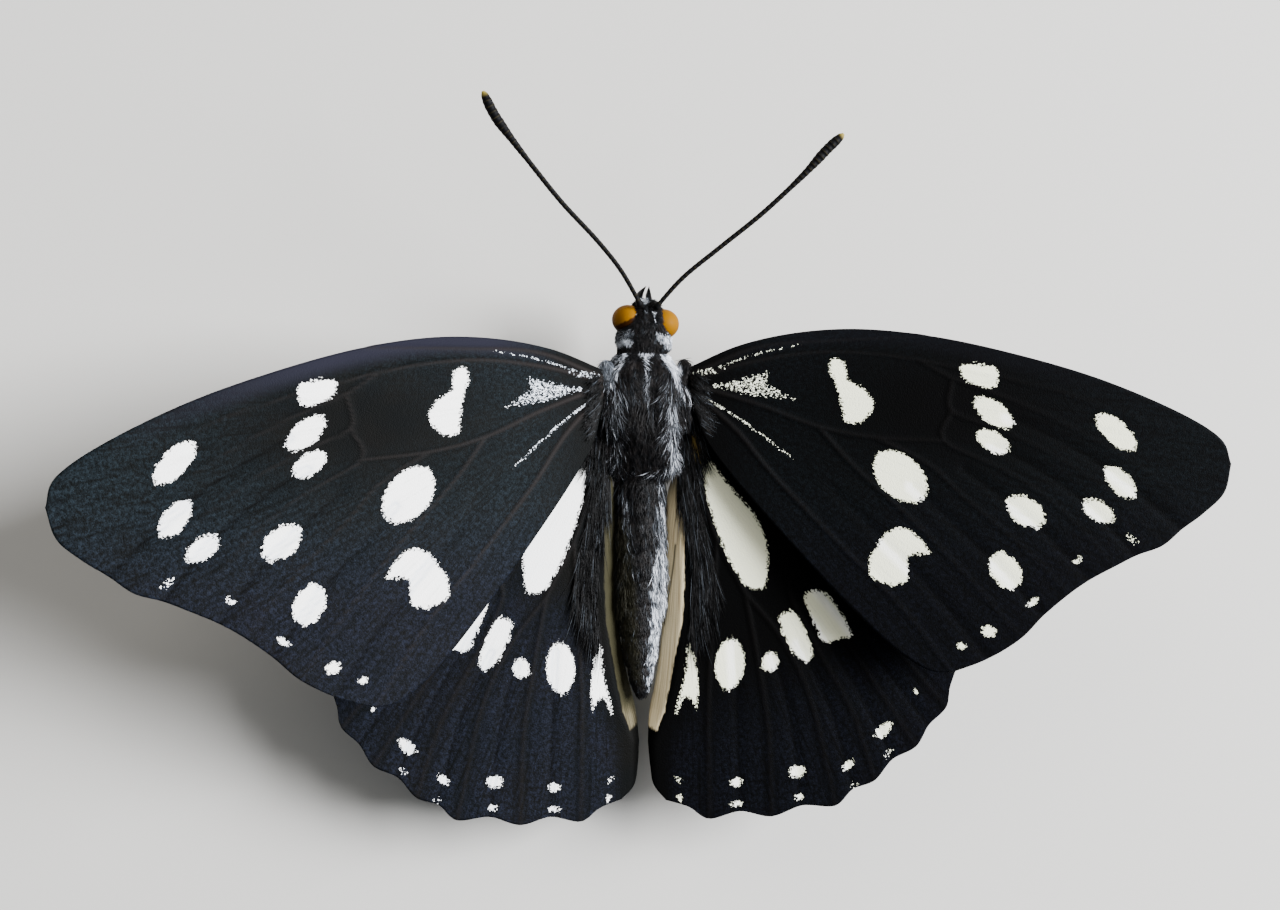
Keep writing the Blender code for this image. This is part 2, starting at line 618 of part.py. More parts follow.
def main():
    """Build the butterfly."""
    clear_scene()
    collection = bpy.data.collections.new("hestina_japonica")
    cutters = bpy.data.collections.new("cutters")
    for group in (collection, cutters):
        bpy.context.scene.collection.children.link(group)
    stand = bpy.data.objects.new("stand_point", None)
    body = bpy.data.objects.new("body_frame", None)
    neck = bpy.data.objects.new("neck", None)
    for empty in (stand, body, neck):
        cutters.objects.link(empty)
    body.parent = stand
    body.location = (0, 0, BODY_HEIGHT * MM)
    body.rotation_euler = (BODY_PITCH, 0, 0)
    neck.parent = body
    neck.location = (NECK[0] * MM, NECK[1] * MM, 0)
    neck.rotation_euler = (0, 0, HEAD_TURN)
    materials = {name: make_material(name) for name in COLOURS}
    make_wings(materials["scales"], body, collection)
    make_thorax(materials["body"], body, collection)
    make_abdomen(materials["body"], body, collection)
    make_head(materials, neck, collection, cutters)
    make_antennae(materials["antenna"], body, collection)
    make_mouthparts(materials, neck, collection)
    make_legs(materials["leg"], stand, body, collection)
    centre_on_floor(stand, collection)


main()
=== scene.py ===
"""The finished look of a life-size butterfly at rest: scaled wings, furred body, orange eyes.

Lengths are in millimetres in the body's own frame until BodyFrame turns them to metres over the
floor.  The wing plans use (u, v): out from the midline and back from the frame's origin.
"""

import logging
import math
from dataclasses import dataclass, field
from enum import Enum

import bpy
import numpy as np
from mathutils import Matrix, Vector


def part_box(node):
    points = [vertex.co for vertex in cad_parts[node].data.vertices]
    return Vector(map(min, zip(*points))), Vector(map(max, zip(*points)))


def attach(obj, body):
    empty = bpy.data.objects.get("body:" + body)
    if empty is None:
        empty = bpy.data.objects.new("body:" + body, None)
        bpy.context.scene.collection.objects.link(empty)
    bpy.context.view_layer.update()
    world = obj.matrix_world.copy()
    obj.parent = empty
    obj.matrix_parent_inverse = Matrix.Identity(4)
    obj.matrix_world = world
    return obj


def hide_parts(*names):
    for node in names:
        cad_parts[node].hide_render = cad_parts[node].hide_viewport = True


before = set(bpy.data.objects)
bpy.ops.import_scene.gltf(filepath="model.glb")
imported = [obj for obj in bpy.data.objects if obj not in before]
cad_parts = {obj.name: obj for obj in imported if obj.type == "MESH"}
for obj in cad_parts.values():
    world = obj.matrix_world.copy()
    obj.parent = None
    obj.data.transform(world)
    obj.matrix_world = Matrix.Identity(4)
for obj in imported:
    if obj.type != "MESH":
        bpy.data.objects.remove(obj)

MM = 0.001
IMAGE_SIZE = (1280, 910)
LOG = logging.getLogger("butterfly")
Array = np.ndarray
Material = bpy.types.Material
Tree = bpy.types.NodeTree
Socket = bpy.types.NodeSocket
Node = bpy.types.Node
PATH_STEPS = 40         # dense steps between two control points of a path


class Side(Enum):
    """The two sides of the animal, as the sign of x."""

    left = -1
    right = 1


# ---- shapes --------------------------------------------------------------------------------


def smooth_path(points: Array, count: int, beyond: tuple | None = None) -> Array:
    """Spread points evenly along the Catmull-Rom curve through the given ones.

    Args:
        points: control points, one row each.
        count: how many points come back.
        beyond: the points before the first and after the last, or none to run straight on.

    Returns:
        The points, one row each, at equal steps of length along the curve.
    """
    p = np.asarray(points, float)
    before, after = beyond or (2 * p[0] - p[1], 2 * p[-1] - p[-2])
    p = np.vstack([before, p, after])
    place = np.linspace(0, len(p) - 3, PATH_STEPS * (len(p) - 3) + 1)
    i = np.minimum(place.astype(int), len(p) - 4)
    t = (place - i)[:, None]
    a, b, c, d = p[i], p[i + 1], p[i + 2], p[i + 3]
    square, cube = 2 * a - 5 * b + 4 * c - d, 3 * b - a - 3 * c + d
    dense = 0.5 * (2 * b + (c - a) * t + square * t ** 2 + cube * t ** 3)
    run = np.concatenate([[0], np.cumsum(np.linalg.norm(np.diff(dense, axis=0), axis=1))])
    at = np.linspace(0, run[-1], count)
    return np.stack([np.interp(at, run, dense[:, k]) for k in range(p.shape[1])], axis=1)


def closed_path(points: Array, count: int) -> Array:
    """The smooth closed curve through the points, without its last point twice."""
    p = np.asarray(points, float)
    return smooth_path(np.vstack([p, p[:1]]), count + 1, (p[-1], p[1]))[:-1]


def path_distance(points: Array, path: Array) -> Array:
    """The distance from each point to a line of straight runs, in the plane.

    Args:
        points: N rows of (u, v).
        path: M rows of (u, v).

    Returns:
        N distances: the length of what is left of the offset from each run's start after
        its part along the run, held within the run, is taken away, and the least of these.
    """
    best = np.full(len(points), np.inf)
    for a, b in zip(path[:-1], path[1:]):
        run = b - a
        t = np.clip((points - a) @ run / max(run @ run, 1e-12), 0, 1)
        best = np.minimum(best, np.linalg.norm(points - a - t[:, None] * run, axis=1))
    return best


def path_side(points: Array, path: Array) -> Array:
    """Which side of a path each point lies on: 1 or -1.

    It is the sign of the cross product of the path's nearest step with the way to the point.
    """
    nearest = np.argmin(np.linalg.norm(points[:, None] - path[None, :-1], axis=2), axis=1)
    run, off = (path[1:] - path[:-1])[nearest], points - path[nearest]
    return np.sign(run[:, 0] * off[:, 1] - run[:, 1] * off[:, 0])


def path_lee(points: Array, path: Array) -> Array:
    """A soft band along one side of a path: full beside it, gone 1 mm away."""
    away = path_distance(points, path)
    return smoothstep(-0.05, 0.1, path_side(points, path) * away) * smoothstep(1.0, 0.4, away)


def depth_inside(points: Array, outline: Array) -> Array:
    """Signed distance to a closed outline: positive inside it, negative outside."""
    ring = np.vstack([outline, outline[:1]])
    away = path_distance(points, ring)
    hit = np.zeros(len(points), bool)
    for a, b in zip(ring[:-1], ring[1:]):
        spans = (a[1] > points[:, 1]) != (b[1] > points[:, 1])
        slope = (b[0] - a[0]) / (b[1] - a[1]) if b[1] != a[1] else 0.0
        hit ^= spans & (points[:, 0] < a[0] + slope * (points[:, 1] - a[1]))
    return np.where(hit, away, -away)


def smoothstep(low: float, high: float, value: Array) -> Array:
    """0 below low, 1 above high, and a smooth rise between them."""
    t = np.clip((value - low) / (high - low), 0, 1)
    return t * t * (3 - 2 * t)


def bell(value: Array, width: float) -> Array:
    """1 at zero, falling off on both sides as exp(-(value / width)²)."""
    return np.exp(-(value / width) ** 2)


def unit(vectors: Array) -> Array:
    """The vectors at length 1, along the last axis."""
    return vectors / np.maximum(np.linalg.norm(vectors, axis=-1, keepdims=True), 1e-12)


def along_skin(vectors: Array, normals: Array) -> Array:
    """The vectors laid on the skin at length 1: what is left without their part along the normals."""
    return unit(vectors - normals * np.sum(vectors * normals, axis=-1, keepdims=True))


def quad_grid(rows: int, columns: int, wrap: bool = False) -> Array:
    """The quads of a grid of points, row after row; wrap joins its last column to its first."""
    index = np.arange(rows * columns).reshape(rows, columns)
    if wrap:
        index = np.hstack([index, index[:, :1]])
    quads = np.stack([index[:-1, :-1], index[:-1, 1:], index[1:, 1:], index[1:, :-1]], axis=-1)
    return quads.reshape(-1, 4)


def split_quads(quads: Array) -> Array:
    """Each quad as two triangles."""
    return np.vstack([quads[:, [0, 1, 2]], quads[:, [0, 2, 3]]])


def facing_out(points: Array, triangles: Array) -> Array:
    """Closed triangles, all turned round if the volume inside them comes out below zero.

    The volume is a sixth of the sum of a · (b × c) over the triangles' corners a, b and c.
    """
    a, b, c = (points[triangles[:, k]] for k in range(3))
    return triangles if np.sum(a * np.cross(b, c)) >= 0 else triangles[:, ::-1]


def unit_ball(rows: int, around: int, hole: float) -> Array:
    """Rows of rings of points on a ball of radius 1 about z, open by the angle hole at both poles."""
    polar = np.linspace(hole, math.pi - hole, rows)[:, None]
    turn = np.linspace(0, 2 * math.pi, around, endpoint=False)[None]
    return np.stack([np.sin(polar) * np.cos(turn), np.sin(polar) * np.sin(turn),
                     np.cos(polar) * np.ones_like(turn)], axis=-1)


def grid_normals(grid: Array) -> Array:
    """Unit normals of a grid of points, from its steps along both directions."""
    return unit(np.cross(np.gradient(grid, axis=1), np.gradient(grid, axis=0)))


def soft_noise(points: Array, seed: int) -> Array:
    """Smooth random values from 0 to 1, one for each row of three coordinates.

    Random numbers stand at whole places; a point takes the mix of the eight around it, each
    weighed by the product of its smoothed distances along the three axes.
    """
    table = np.random.default_rng(seed).random((32, 32, 32))
    base = np.floor(points).astype(int)
    part = points - base
    part = part * part * (3 - 2 * part)
    total = np.zeros(len(points))
    for corner in ((i, j, k) for i in (0, 1) for j in (0, 1) for k in (0, 1)):
        weight = np.prod(np.where(corner, part, 1 - part), axis=1)
        total += weight * table[tuple(((base + corner) % 32).T)]
    return total


def turn_about(axis: str, degrees: float) -> Array:
    """The matrix that turns points about one axis."""
    return np.array(Matrix.Rotation(math.radians(degrees), 3, axis))


@dataclass
class Shape:
    """A mesh in the making: points in body millimetres, faces, and what rides on the points."""

    points: Array
    faces: Array
    values: dict[str, Array] = field(default_factory=dict)
    maps: dict[str, Array] = field(default_factory=dict)


def tube(path: Array, radii: Array, sides: int, flatten: float = 1.0) -> Shape:
    """A closed tube along a path.

    The ring at each point is a circle of that point's radius, square to the path, turned as
    little as can be from the ring before it; both ends are drawn together to a point.

    Args:
        path: N rows of (x, y, z).
        radii: N radii.
        sides: points on each ring.
        flatten: the ring's height over its width.

    Returns:
        The tube, with the value "along" running from 0 to 1.
    """
    tangent = unit(np.gradient(path, axis=0))
    side = np.cross(tangent, [0.0, 0.0, 1.0])
    upright = np.linalg.norm(side, axis=1) < 0.2
    side[upright] = np.cross(tangent[upright], [0.0, 1.0, 0.0])
    side = unit(side)
    rise = np.cross(side, tangent)
    angle = np.linspace(0, 2 * math.pi, sides, endpoint=False)
    c, s = np.cos(angle)[None, :, None], np.sin(angle)[None, :, None]
    ring = c * side[:, None] + flatten * s * rise[:, None]
    rows = path[:, None] + ring * radii[:, None, None]
    rows = np.concatenate([np.repeat(path[:1, None], sides, 1), rows, np.repeat(path[-1:, None], sides, 1)])
    along = np.concatenate([[0], np.linspace(0, 1, len(path)), [1]])
    faces = quad_grid(len(rows), sides, wrap=True)[:, ::-1]
    return Shape(rows.reshape(-1, 3), faces, {"along": np.repeat(along, sides)})


def shell_of(grid: Array, thickness: float, values: dict[str, Array], maps: dict[str, Array]) -> Shape:
    """A thin closed plate on a grid of middle points.

    The grid is set off by half the thickness along its normals to both sides, and a rim of
    quads joins the two faces.

    Args:
        grid: rows by columns of (x, y, z).
        thickness: the plate's thickness.
        values: arrays of rows by columns carried by both faces.
        maps: arrays of rows by columns by two, carried by both faces.

    Returns:
        The plate.
    """
    rows, columns = grid.shape[:2]
    push = grid_normals(grid) * thickness / 2
    top, under = (grid + push).reshape(-1, 3), (grid - push).reshape(-1, 3)
    quads = quad_grid(rows, columns)
    index = np.arange(rows * columns).reshape(rows, columns)
    edge = np.concatenate([index[0, :-1], index[:-1, -1], index[-1, :0:-1], index[:0:-1, 0]])
    following = np.roll(edge, -1)
    shift = rows * columns
    rim = np.stack([edge, edge + shift, following + shift, following], axis=1)
    faces = np.vstack([quads, quads[:, ::-1] + shift, rim])
    return Shape(
        np.vstack([top, under]), faces,
        {k: np.tile(v.reshape(-1), 2) for k, v in values.items()},
        {k: np.tile(v.reshape(-1, 2), (2, 1)) for k, v in maps.items()},
    )


@dataclass(frozen=True)
class BodyFrame:
    """Where the body's own frame stands over the floor, read from the thorax node.

    Attributes:
        pitch: how far the head is raised, in degrees.
        height: the frame's origin over the floor, in mm.
        front_ring: y, middle height and half height of the thorax's front edge, in mm.
    """

    pitch: float = 5.0
    height: float = 8.6
    front_ring: tuple[float, float, float] = (4.4, -0.6, 1.45)

    def origin(self) -> Array:
        """The frame's origin in mm over the floor."""
        low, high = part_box("thorax")
        y, middle, half_height = self.front_ring
        lean = math.radians(self.pitch)
        front = y * math.cos(lean) + (half_height - middle) * math.sin(lean)
        return np.array([(low.x + high.x) / 2 / MM, high.y / MM - front, self.height])

    def to_world(self, points: Array) -> Array:
        """Body millimetres as metres over the floor."""
        return (points @ turn_about("X", self.pitch).T + self.origin()) * MM

    def direction(self, vector: Array) -> Vector:
        """A direction in the body's frame, as seen over the floor."""
        return Vector(turn_about("X", self.pitch) @ np.asarray(vector, float))


BODY = BodyFrame()


def make_piece(name: str, shape: Shape, material: Material,
               replaced: tuple[str, ...] = (), on_floor: bool = False) -> bpy.types.Object:
    """Turn a shape into an object that rides on the frame.

    Args:
        name: the piece's name.
        shape: its points, faces, values and maps.
        material: its finish.
        replaced: the CAD nodes that it stands for.
        on_floor: whether its points are already millimetres over the floor.

    Returns:
        The object, at the origin, with its place in its mesh.
    """
    points = (shape.points * MM if on_floor else BODY.to_world(shape.points)).astype(np.float32)
    mesh = bpy.data.meshes.new(name)
    faces = shape.faces.astype(np.int32)
    sides = faces.shape[1]
    mesh.vertices.add(len(points))
    mesh.vertices.foreach_set("co", points.ravel())
    mesh.loops.add(faces.size)
    mesh.loops.foreach_set("vertex_index", faces.ravel())
    mesh.polygons.add(len(faces))
    mesh.polygons.foreach_set("loop_start", np.arange(0, faces.size, sides, dtype=np.int32))
    for key, value in shape.values.items():
        mesh.attributes.new(key, "FLOAT", "POINT").data.foreach_set("value", value.astype(np.float32))
    for key, value in shape.maps.items():
        layer = mesh.uv_layers.new(name=key)
        layer.data.foreach_set("uv", value[faces.ravel()].astype(np.float32).ravel())
    mesh.update(calc_edges=True)
    mesh.validate()
    mesh.shade_smooth()
    mesh.materials.append(material)
    piece = bpy.data.objects.new(name, mesh)
    bpy.context.scene.collection.objects.link(piece)
    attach(piece, "root")
    if replaced:
        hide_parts(*replaced)
    LOG.info("%s: %d faces", name, len(faces))
    return piece


# ---- finishes ------------------------------------------------------------------------------


def linear(colour: str) -> tuple[float, float, float, float]:
    """An sRGB hex colour as linear red, green, blue and full alpha."""
    parts = [int(colour[i:i + 2], 16) / 255 for i in (1, 3, 5)]
    return (*[p / 12.92 if p <= 0.04045 else ((p + 0.055) / 1.055) ** 2.4 for p in parts], 1.0)


def add_node(tree: Tree, kind: str, inputs: dict | None = None, **settings) -> Node:
    """Add one shader node.

    Args:
        tree: the material's nodes.
        kind: the node's type.
        inputs: values, hex colours or other nodes' sockets, by input name or number.
        settings: the node's own properties.

    Returns:
        The node.
    """
    node = tree.nodes.new(kind)
    for key, value in settings.items():
        setattr(node, key, value)
    for key, value in (inputs or {}).items():
        if isinstance(value, Socket):
            tree.links.new(value, node.inputs[key])
        else:
            node.inputs[key].default_value = linear(value) if isinstance(value, str) else value
    return node


def value_of(tree: Tree, name: str) -> Socket:
    """The socket that carries one of the piece's own values."""
    return add_node(tree, "ShaderNodeAttribute", attribute_name=name).outputs["Fac"]


def place_of(tree: Tree) -> Socket:
    """The socket that carries each point's place, in metres."""
    return add_node(tree, "ShaderNodeTexCoord").outputs["Object"]


def maths(tree: Tree, operation: str, *inputs) -> Socket:
    """The result of one operation on numbers or sockets."""
    return add_node(tree, "ShaderNodeMath", dict(enumerate(inputs)), operation=operation).outputs[0]


def product(tree: Tree, first, *factors) -> Socket:
    """The product of numbers or sockets."""
    for factor in factors:
        first = maths(tree, "MULTIPLY", first, factor)
    return first


def swing(tree: Tree, value, gain: float) -> Socket:
    """How far a value from 0 to 1 lies from its middle, times gain."""
    return product(tree, maths(tree, "SUBTRACT", value, 0.5), gain)


def ramp(tree: Tree, value, low: float, high: float) -> Socket:
    """0 below low, 1 above high and a smooth rise between."""
    inputs = {"Value": value, "From Min": low, "From Max": high}
    return add_node(tree, "ShaderNodeMapRange", inputs, interpolation_type="SMOOTHSTEP").outputs[0]


def blend(tree: Tree, factor, first, second) -> Socket:
    """Mix two colours, each a hex code or a socket."""
    return add_node(tree, "ShaderNodeMix", {0: factor, 6: first, 7: second}, data_type="RGBA").outputs[2]


def noise(tree: Tree, vector, size: float, detail: float = 2.0) -> Socket:
    """Noise whose grains are about the given size in the vector's own units."""
    inputs = {"Vector": vector, "Scale": 1 / size, "Detail": detail}
    return add_node(tree, "ShaderNodeTexNoise", inputs).outputs[0]


def scaled(tree: Tree, vector, by: tuple[float, float, float]) -> Socket:
    """A vector stretched along its axes."""
    return add_node(tree, "ShaderNodeMapping", {"Vector": vector, "Scale": by}).outputs[0]


def add_bump(tree: Tree, shader: Node, height, strength: float, depth: float) -> None:
    """Roughen a shader's surface by a height from 0 to 1 that stands for depth in millimetres."""
    inputs = {"Height": height, "Strength": strength, "Distance": depth * MM}
    tree.links.new(add_node(tree, "ShaderNodeBump", inputs).outputs[0], shader.inputs["Normal"])


def new_material(name: str, **sockets) -> tuple[Material, Tree, Node]:
    """A plain surface material with the given sockets set, its nodes and its shader."""
    material = bpy.data.materials.new(name)
    material.use_nodes = True
    shader = material.node_tree.nodes["Principled BSDF"]
    for key, value in sockets.items():
        shader.inputs[key.replace("_", " ")].default_value = value
    return material, material.node_tree, shader


@dataclass(frozen=True)
class WingScales:
    """Overlapping chitin scales on a wing: velvety black with a painted cold sheen, and matt white spots.

    Black scales soak up light but give back a bluish sheen at a slant; white ones scatter it. Here that
    sheen, the silver glints and the highlights beside the creases are painted into the base colour,
    stronger on the wing that faces the light, and the creases are painted dark as shade.
    Each scale is a cell with a chance of its own, which frays the spots' edges and strews dust.
    A cell is 0.085 mm; real scales are 0.05 mm wide, which would not show.
    """

    black: str = "#040505"
    warm_black: str = "#060605"
    # the right wing's black, painted darker where it gets no painted sheen
    shaded_side_black: str = "#020202"
    # painted bluish sheen on the black scales, in two hues
    teal_bloom: str = "#192126"
    violet_bloom: str = "#161923"
    # the veins' own brown, shown more strongly on the lit left wing as a painted highlight
    vein: str = "#1b1817"
    # painted sheen along the front edge, strong on the wing that faces the light
    costal: str = "#181820"
    # the spots' white, as painted glare where the light falls on the left wing
    white: str = "#f7f6f2"
    cream: str = "#dfe0c4"
    # painted silver glints and highlights
    glint_silver: str = "#cfd5dc"
    tan: str = "#d4c59f"
    tan_line: str = "#b09c78"
    # the fold's colour in painted shade
    tan_dark: str = "#28261a"
    # painted shade in the creases between the veins
    crease: str = "#010101"
    worn: str = "#8d9086"
    scale_mm: float = 0.085
    ray_mm: float = 0.18        # the rays of scales from the root outward
    tooth_mm: float = 0.2       # the teeth along the spots' edges
    blotch_mm: float = 4.0      # blotches of warmer and colder black
    mottle_mm: float = 0.3      # the painted sheen's mottling
    comb: float = 0.5           # how far the teeth shift an edge, in mm over their whole range
    fray: float = 0.26          # how far each scale's own chance shifts it
    wear: float = 0.3
    bump_mm: float = 0.04

    def build(self) -> Material:
        """The material, which reads the wing's values and its map of how the scales lie."""
        material, tree, shader = new_material("wing_scales", IOR=1.5, Specular_IOR_Level=0.02)
        lie, plan = (add_node(tree, "ShaderNodeUVMap", uv_map=name).outputs[0] for name in ("lie", "plan"))
        cell = add_node(tree, "ShaderNodeTexVoronoi", {"Vector": plan, "Scale": 1 / self.scale_mm})
        chance = add_node(tree, "ShaderNodeSeparateColor", {0: cell.outputs["Color"]}).outputs[0]
        rays = noise(tree, scaled(tree, lie, (1, 0.04, 1)), self.ray_mm)
        comb = swing(tree, noise(tree, scaled(tree, lie, (1, 0.35, 1)), self.tooth_mm), self.comb)
        edge = maths(tree, "ADD", comb, swing(tree, chance, self.fray))
        white = ramp(tree, maths(tree, "ADD", value_of(tree, "white"), edge), 0.0, 0.04)
        strewn = product(tree, value_of(tree, "dust"), ramp(tree, rays, 0.3, 0.55))
        dust = ramp(tree, maths(tree, "SUBTRACT", strewn, chance), 0.0, 0.03)
        tan = ramp(tree, maths(tree, "ADD", value_of(tree, "tan"), product(tree, comb, 0.5)), -0.05, 0.07)
        dark = blend(tree, tan, self.ground(tree, lie, plan, rays, chance), self.fold(tree, rays))
        pattern = blend(tree, maths(tree, "MAXIMUM", white, dust), dark, self.spots(tree, rays, chance))
        tree.links.new(pattern, shader.inputs["Base Color"])
        tree.links.new(maths(tree, "ADD", product(tree, white, 0.12), 0.55), shader.inputs["Roughness"])
        add_bump(tree, shader, maths(tree, "SUBTRACT", 1.0, cell.outputs["Distance"]), 0.35, self.bump_mm)
        return material

    def ground(self, tree: Tree, lie: Socket, plan: Socket, rays: Socket, chance: Socket) -> Socket:
        """The black ground with its painted sheen, the costal band's painted sheen, the veins and the
        creases painted dark as shade.
        """
        blotches = ramp(tree, noise(tree, lie, self.blotch_mm, 3.0), 0.35, 0.65)
        dark = blend(tree, blotches, self.black, self.warm_black)
        dark = blend(tree, value_of(tree, "creamy"), dark, self.shaded_side_black)
        bloom = blend(tree, value_of(tree, "violet"), self.teal_bloom, self.violet_bloom)
        mottled = ramp(tree, noise(tree, plan, self.mottle_mm, 4.0), 0.2, 0.74)
        lit = product(tree, value_of(tree, "bloom"), mottled, ramp(tree, chance, -0.3, 1.0),
                      ramp(tree, rays, 0.15, 0.6))
        dark = blend(tree, lit, dark, bloom)
        for key, colour in (("costal", self.costal), ("vein", self.vein), ("crease", self.crease)):
            dark = blend(tree, value_of(tree, key), dark, colour)
        return dark

    def fold(self, tree: Tree, rays: Socket) -> Socket:
        """The tan inner fold, lined along the rays and brown where it is shaded."""
        shade = maths(tree, "ADD", value_of(tree, "shade"), swing(tree, rays, 0.3))
        lined = blend(tree, ramp(tree, rays, 0.4, 0.7), self.tan, self.tan_line)
        return blend(tree, ramp(tree, shade, 0, 1), lined, self.tan_dark)

    def spots(self, tree: Tree, rays: Socket, chance: Socket) -> Socket:
        """The white of spots and dust: painted glare-white on the left wing and cream on the right, with
        painted silver glints and highlights beside the creases by the wing's values, and worn here and
        there.
        """
        creamy = maths(tree, "SUBTRACT", value_of(tree, "creamy"), value_of(tree, "lee"))
        pale = blend(tree, ramp(tree, creamy, 0.0, 1.0), self.white, self.cream)
        silvered = maths(tree, "MAXIMUM", value_of(tree, "silvered"), value_of(tree, "gleam"))
        pale = blend(tree, silvered, pale, self.glint_silver)
        return blend(tree, product(tree, ramp(tree, rays, 0.45, 0.75), chance, self.wear), pale, self.worn)


@dataclass(frozen=True)
class BodyFur:
    """Hair-like scales: dull black with brown among them, and bands of cold white hair.

    Hairs darken towards their roots, where they shade one another, and their tips catch light.
    """

    name: str
    black: str = "#08080a"
    brown: str = "#171413"
    # grey hairs, and the painted glints on dark ones
    grey_and_glint: str = "#51575e"
    pale: str = "#dde2ea"
    olive: str = "#2f2e1c"
    shadow: str = "#000000"
    roughness: float = 0.5
    mottle_mm: float = 0.5
    grain_mm: float = 0.12
    bump_mm: float = 0.08
    root_shade: float = 0.75
    tip_light: float = 0.45

    def build(self) -> Material:
        """The material, which reads how pale and how olive each hair or point of skin is."""
        material, tree, shader = new_material(self.name, Roughness=self.roughness, IOR=1.5,
                                              Specular_IOR_Level=0.12)
        place, tone = place_of(tree), value_of(tree, "pale")
        mottled = ramp(tree, noise(tree, place, self.mottle_mm * MM, 3.0), 0.4, 0.62)
        dark = blend(tree, mottled, self.black, self.brown)
        dark = blend(tree, value_of(tree, "olive"), dark, self.olive)
        colour = blend(tree, ramp(tree, tone, 0.0, 0.5), dark, self.grey_and_glint)
        colour = blend(tree, ramp(tree, tone, 0.4, 1.0), colour, self.pale)
        tip = maths(tree, "ADD", 0.95, product(tree, value_of(tree, "tip"), self.tip_light))
        lit = maths(tree, "SUBTRACT", tip, product(tree, value_of(tree, "shade"), self.root_shade))
        tree.links.new(blend(tree, lit, self.shadow, colour), shader.inputs["Base Color"])
        grain = noise(tree, scaled(tree, place, (1, 0.35, 1)), self.grain_mm * MM)
        add_bump(tree, shader, grain, 0.6, self.bump_mm)
        return material


@dataclass(frozen=True)
class EyeFacets:
    """A faceted compound eye: orange under a clear smooth cornea, painted darker as shade towards its lower
    rear.
    """

    orange: str = "#6c4600"
    deep: str = "#231002"
    facet_mm: float = 0.09
    blotch_mm: float = 0.7
    bump_mm: float = 0.02

    def build(self) -> Material:
        """The material, with facets as a fine cell pattern."""
        material, tree, shader = new_material("eye_facets", Roughness=0.45, IOR=1.45,
                                              Specular_IOR_Level=0.03)
        place = place_of(tree)
        cells = add_node(tree, "ShaderNodeTexVoronoi", {"Vector": place, "Scale": 1 / (self.facet_mm * MM)},
                         feature="DISTANCE_TO_EDGE").outputs["Distance"]
        blotches = product(tree, noise(tree, place, self.blotch_mm * MM), 0.3)
        shade = ramp(tree, maths(tree, "ADD", value_of(tree, "shade"), blotches), 0.35, 1.25)
        tree.links.new(blend(tree, shade, self.orange, self.deep), shader.inputs["Base Color"])
        add_bump(tree, shader, ramp(tree, cells, 0, 0.25), 0.25, self.bump_mm)
        return material


@dataclass(frozen=True)
class Cuticle:
    """Bare or thinly scaled insect cuticle: dark, satin, ringed where the joints show.

    Attributes:
        name: the material's name.
        dark: the main colour.
        light: the colour of rings and tips.
        ring_count: rings along the piece's value "along".
        ring_strength: how light the rings are.
        tip_from: where along the piece the light tip starts; above 1 for none.
        gloss: the share of light that a smooth face throws back.
    """

    name: str
    dark: str
    light: str
    ring_count: float = 0.0
    ring_strength: float = 0.25
    tip_from: float = 2.0
    roughness: float = 0.45
    gloss: float = 0.15
    speck_mm: float = 0.15
    bump_mm: float = 0.04

    def build(self) -> Material:
        """The material, which reads the value "along"."""
        material, tree, shader = new_material(self.name, Roughness=self.roughness, IOR=1.52,
                                              Specular_IOR_Level=self.gloss)
        along = value_of(tree, "along")
        wave = maths(tree, "SINE", product(tree, along, 2 * math.pi * self.ring_count))
        speck = noise(tree, place_of(tree), self.speck_mm * MM)
        ring = product(tree, ramp(tree, wave, 0.75, 1.0), self.ring_strength, ramp(tree, speck, 0.3, 0.6))
        light = maths(tree, "MAXIMUM", ring, ramp(tree, along, self.tip_from, self.tip_from + 0.03))
        tree.links.new(blend(tree, light, self.dark, self.light), shader.inputs["Base Color"])
        add_bump(tree, shader, maths(tree, "ADD", product(tree, wave, 0.5), speck), 0.4, self.bump_mm)
        return material


# ---- wings ---------------------------------------------------------------------------------


@dataclass(frozen=True)
class Oval:
    """An oval white spot: middle, half length, half width and the turn of its length from u to v."""

    u: float
    v: float
    long: float
    wide: float
    turn: float = 0.0
    power: float = 1.9
    edge: float = 0.92

    def depth(self, plan: Array) -> Array:
        """About how far inside the oval each point lies: its level times the mean half size."""
        angle = math.radians(self.turn)
        du, dv = plan[:, 0] - self.u, plan[:, 1] - self.v
        along = du * math.cos(angle) + dv * math.sin(angle)
        across = dv * math.cos(angle) - du * math.sin(angle)
        level = np.abs(along / self.long) ** self.power + np.abs(across / self.wide) ** self.power
        return (self.edge - level ** (1 / self.power)) * math.sqrt(self.long * self.wide)


@dataclass(frozen=True)
class Patch:
    """A white spot of its own outline, smooth through the given points and drawn in a little."""

    outline: tuple[tuple[float, float], ...]
    inset: float = 0.16

    def depth(self, plan: Array) -> Array:
        """How far inside the outline each point lies."""
        return depth_inside(plan, closed_path(self.outline, 48)) - self.inset


@dataclass(frozen=True)
class Streak:
    """A line of scattered pale scales: its path, half width and how densely it is strewn."""

    path: tuple[tuple[float, float], ...]
    width: float
    start: float = 1.0
    end: float = 0.3

    def density(self, plan: Array) -> Array:
        """The share of pale scales at each point, thinning along the streak and across it."""
        line = smooth_path(self.path, 24)
        away = path_distance(plan, line)
        nearest = np.argmin(np.linalg.norm(plan[:, None] - line[None], axis=2), axis=1) / (len(line) - 1)
        share = self.start + (self.end - self.start) * nearest
        return np.clip(1.15 - (away / self.width) ** 2, 0, 1) * share


@dataclass(frozen=True)
class Dusting:
    """A field of scattered pale scales: its outline and how densely it is strewn."""

    outline: tuple[tuple[float, float], ...]
    share: float

    def density(self, plan: Array) -> Array:
        """The share of pale scales at each point, falling off over the field's edge."""
        return self.share * smoothstep(-0.25, 0.3, depth_inside(plan, np.array(self.outline)))


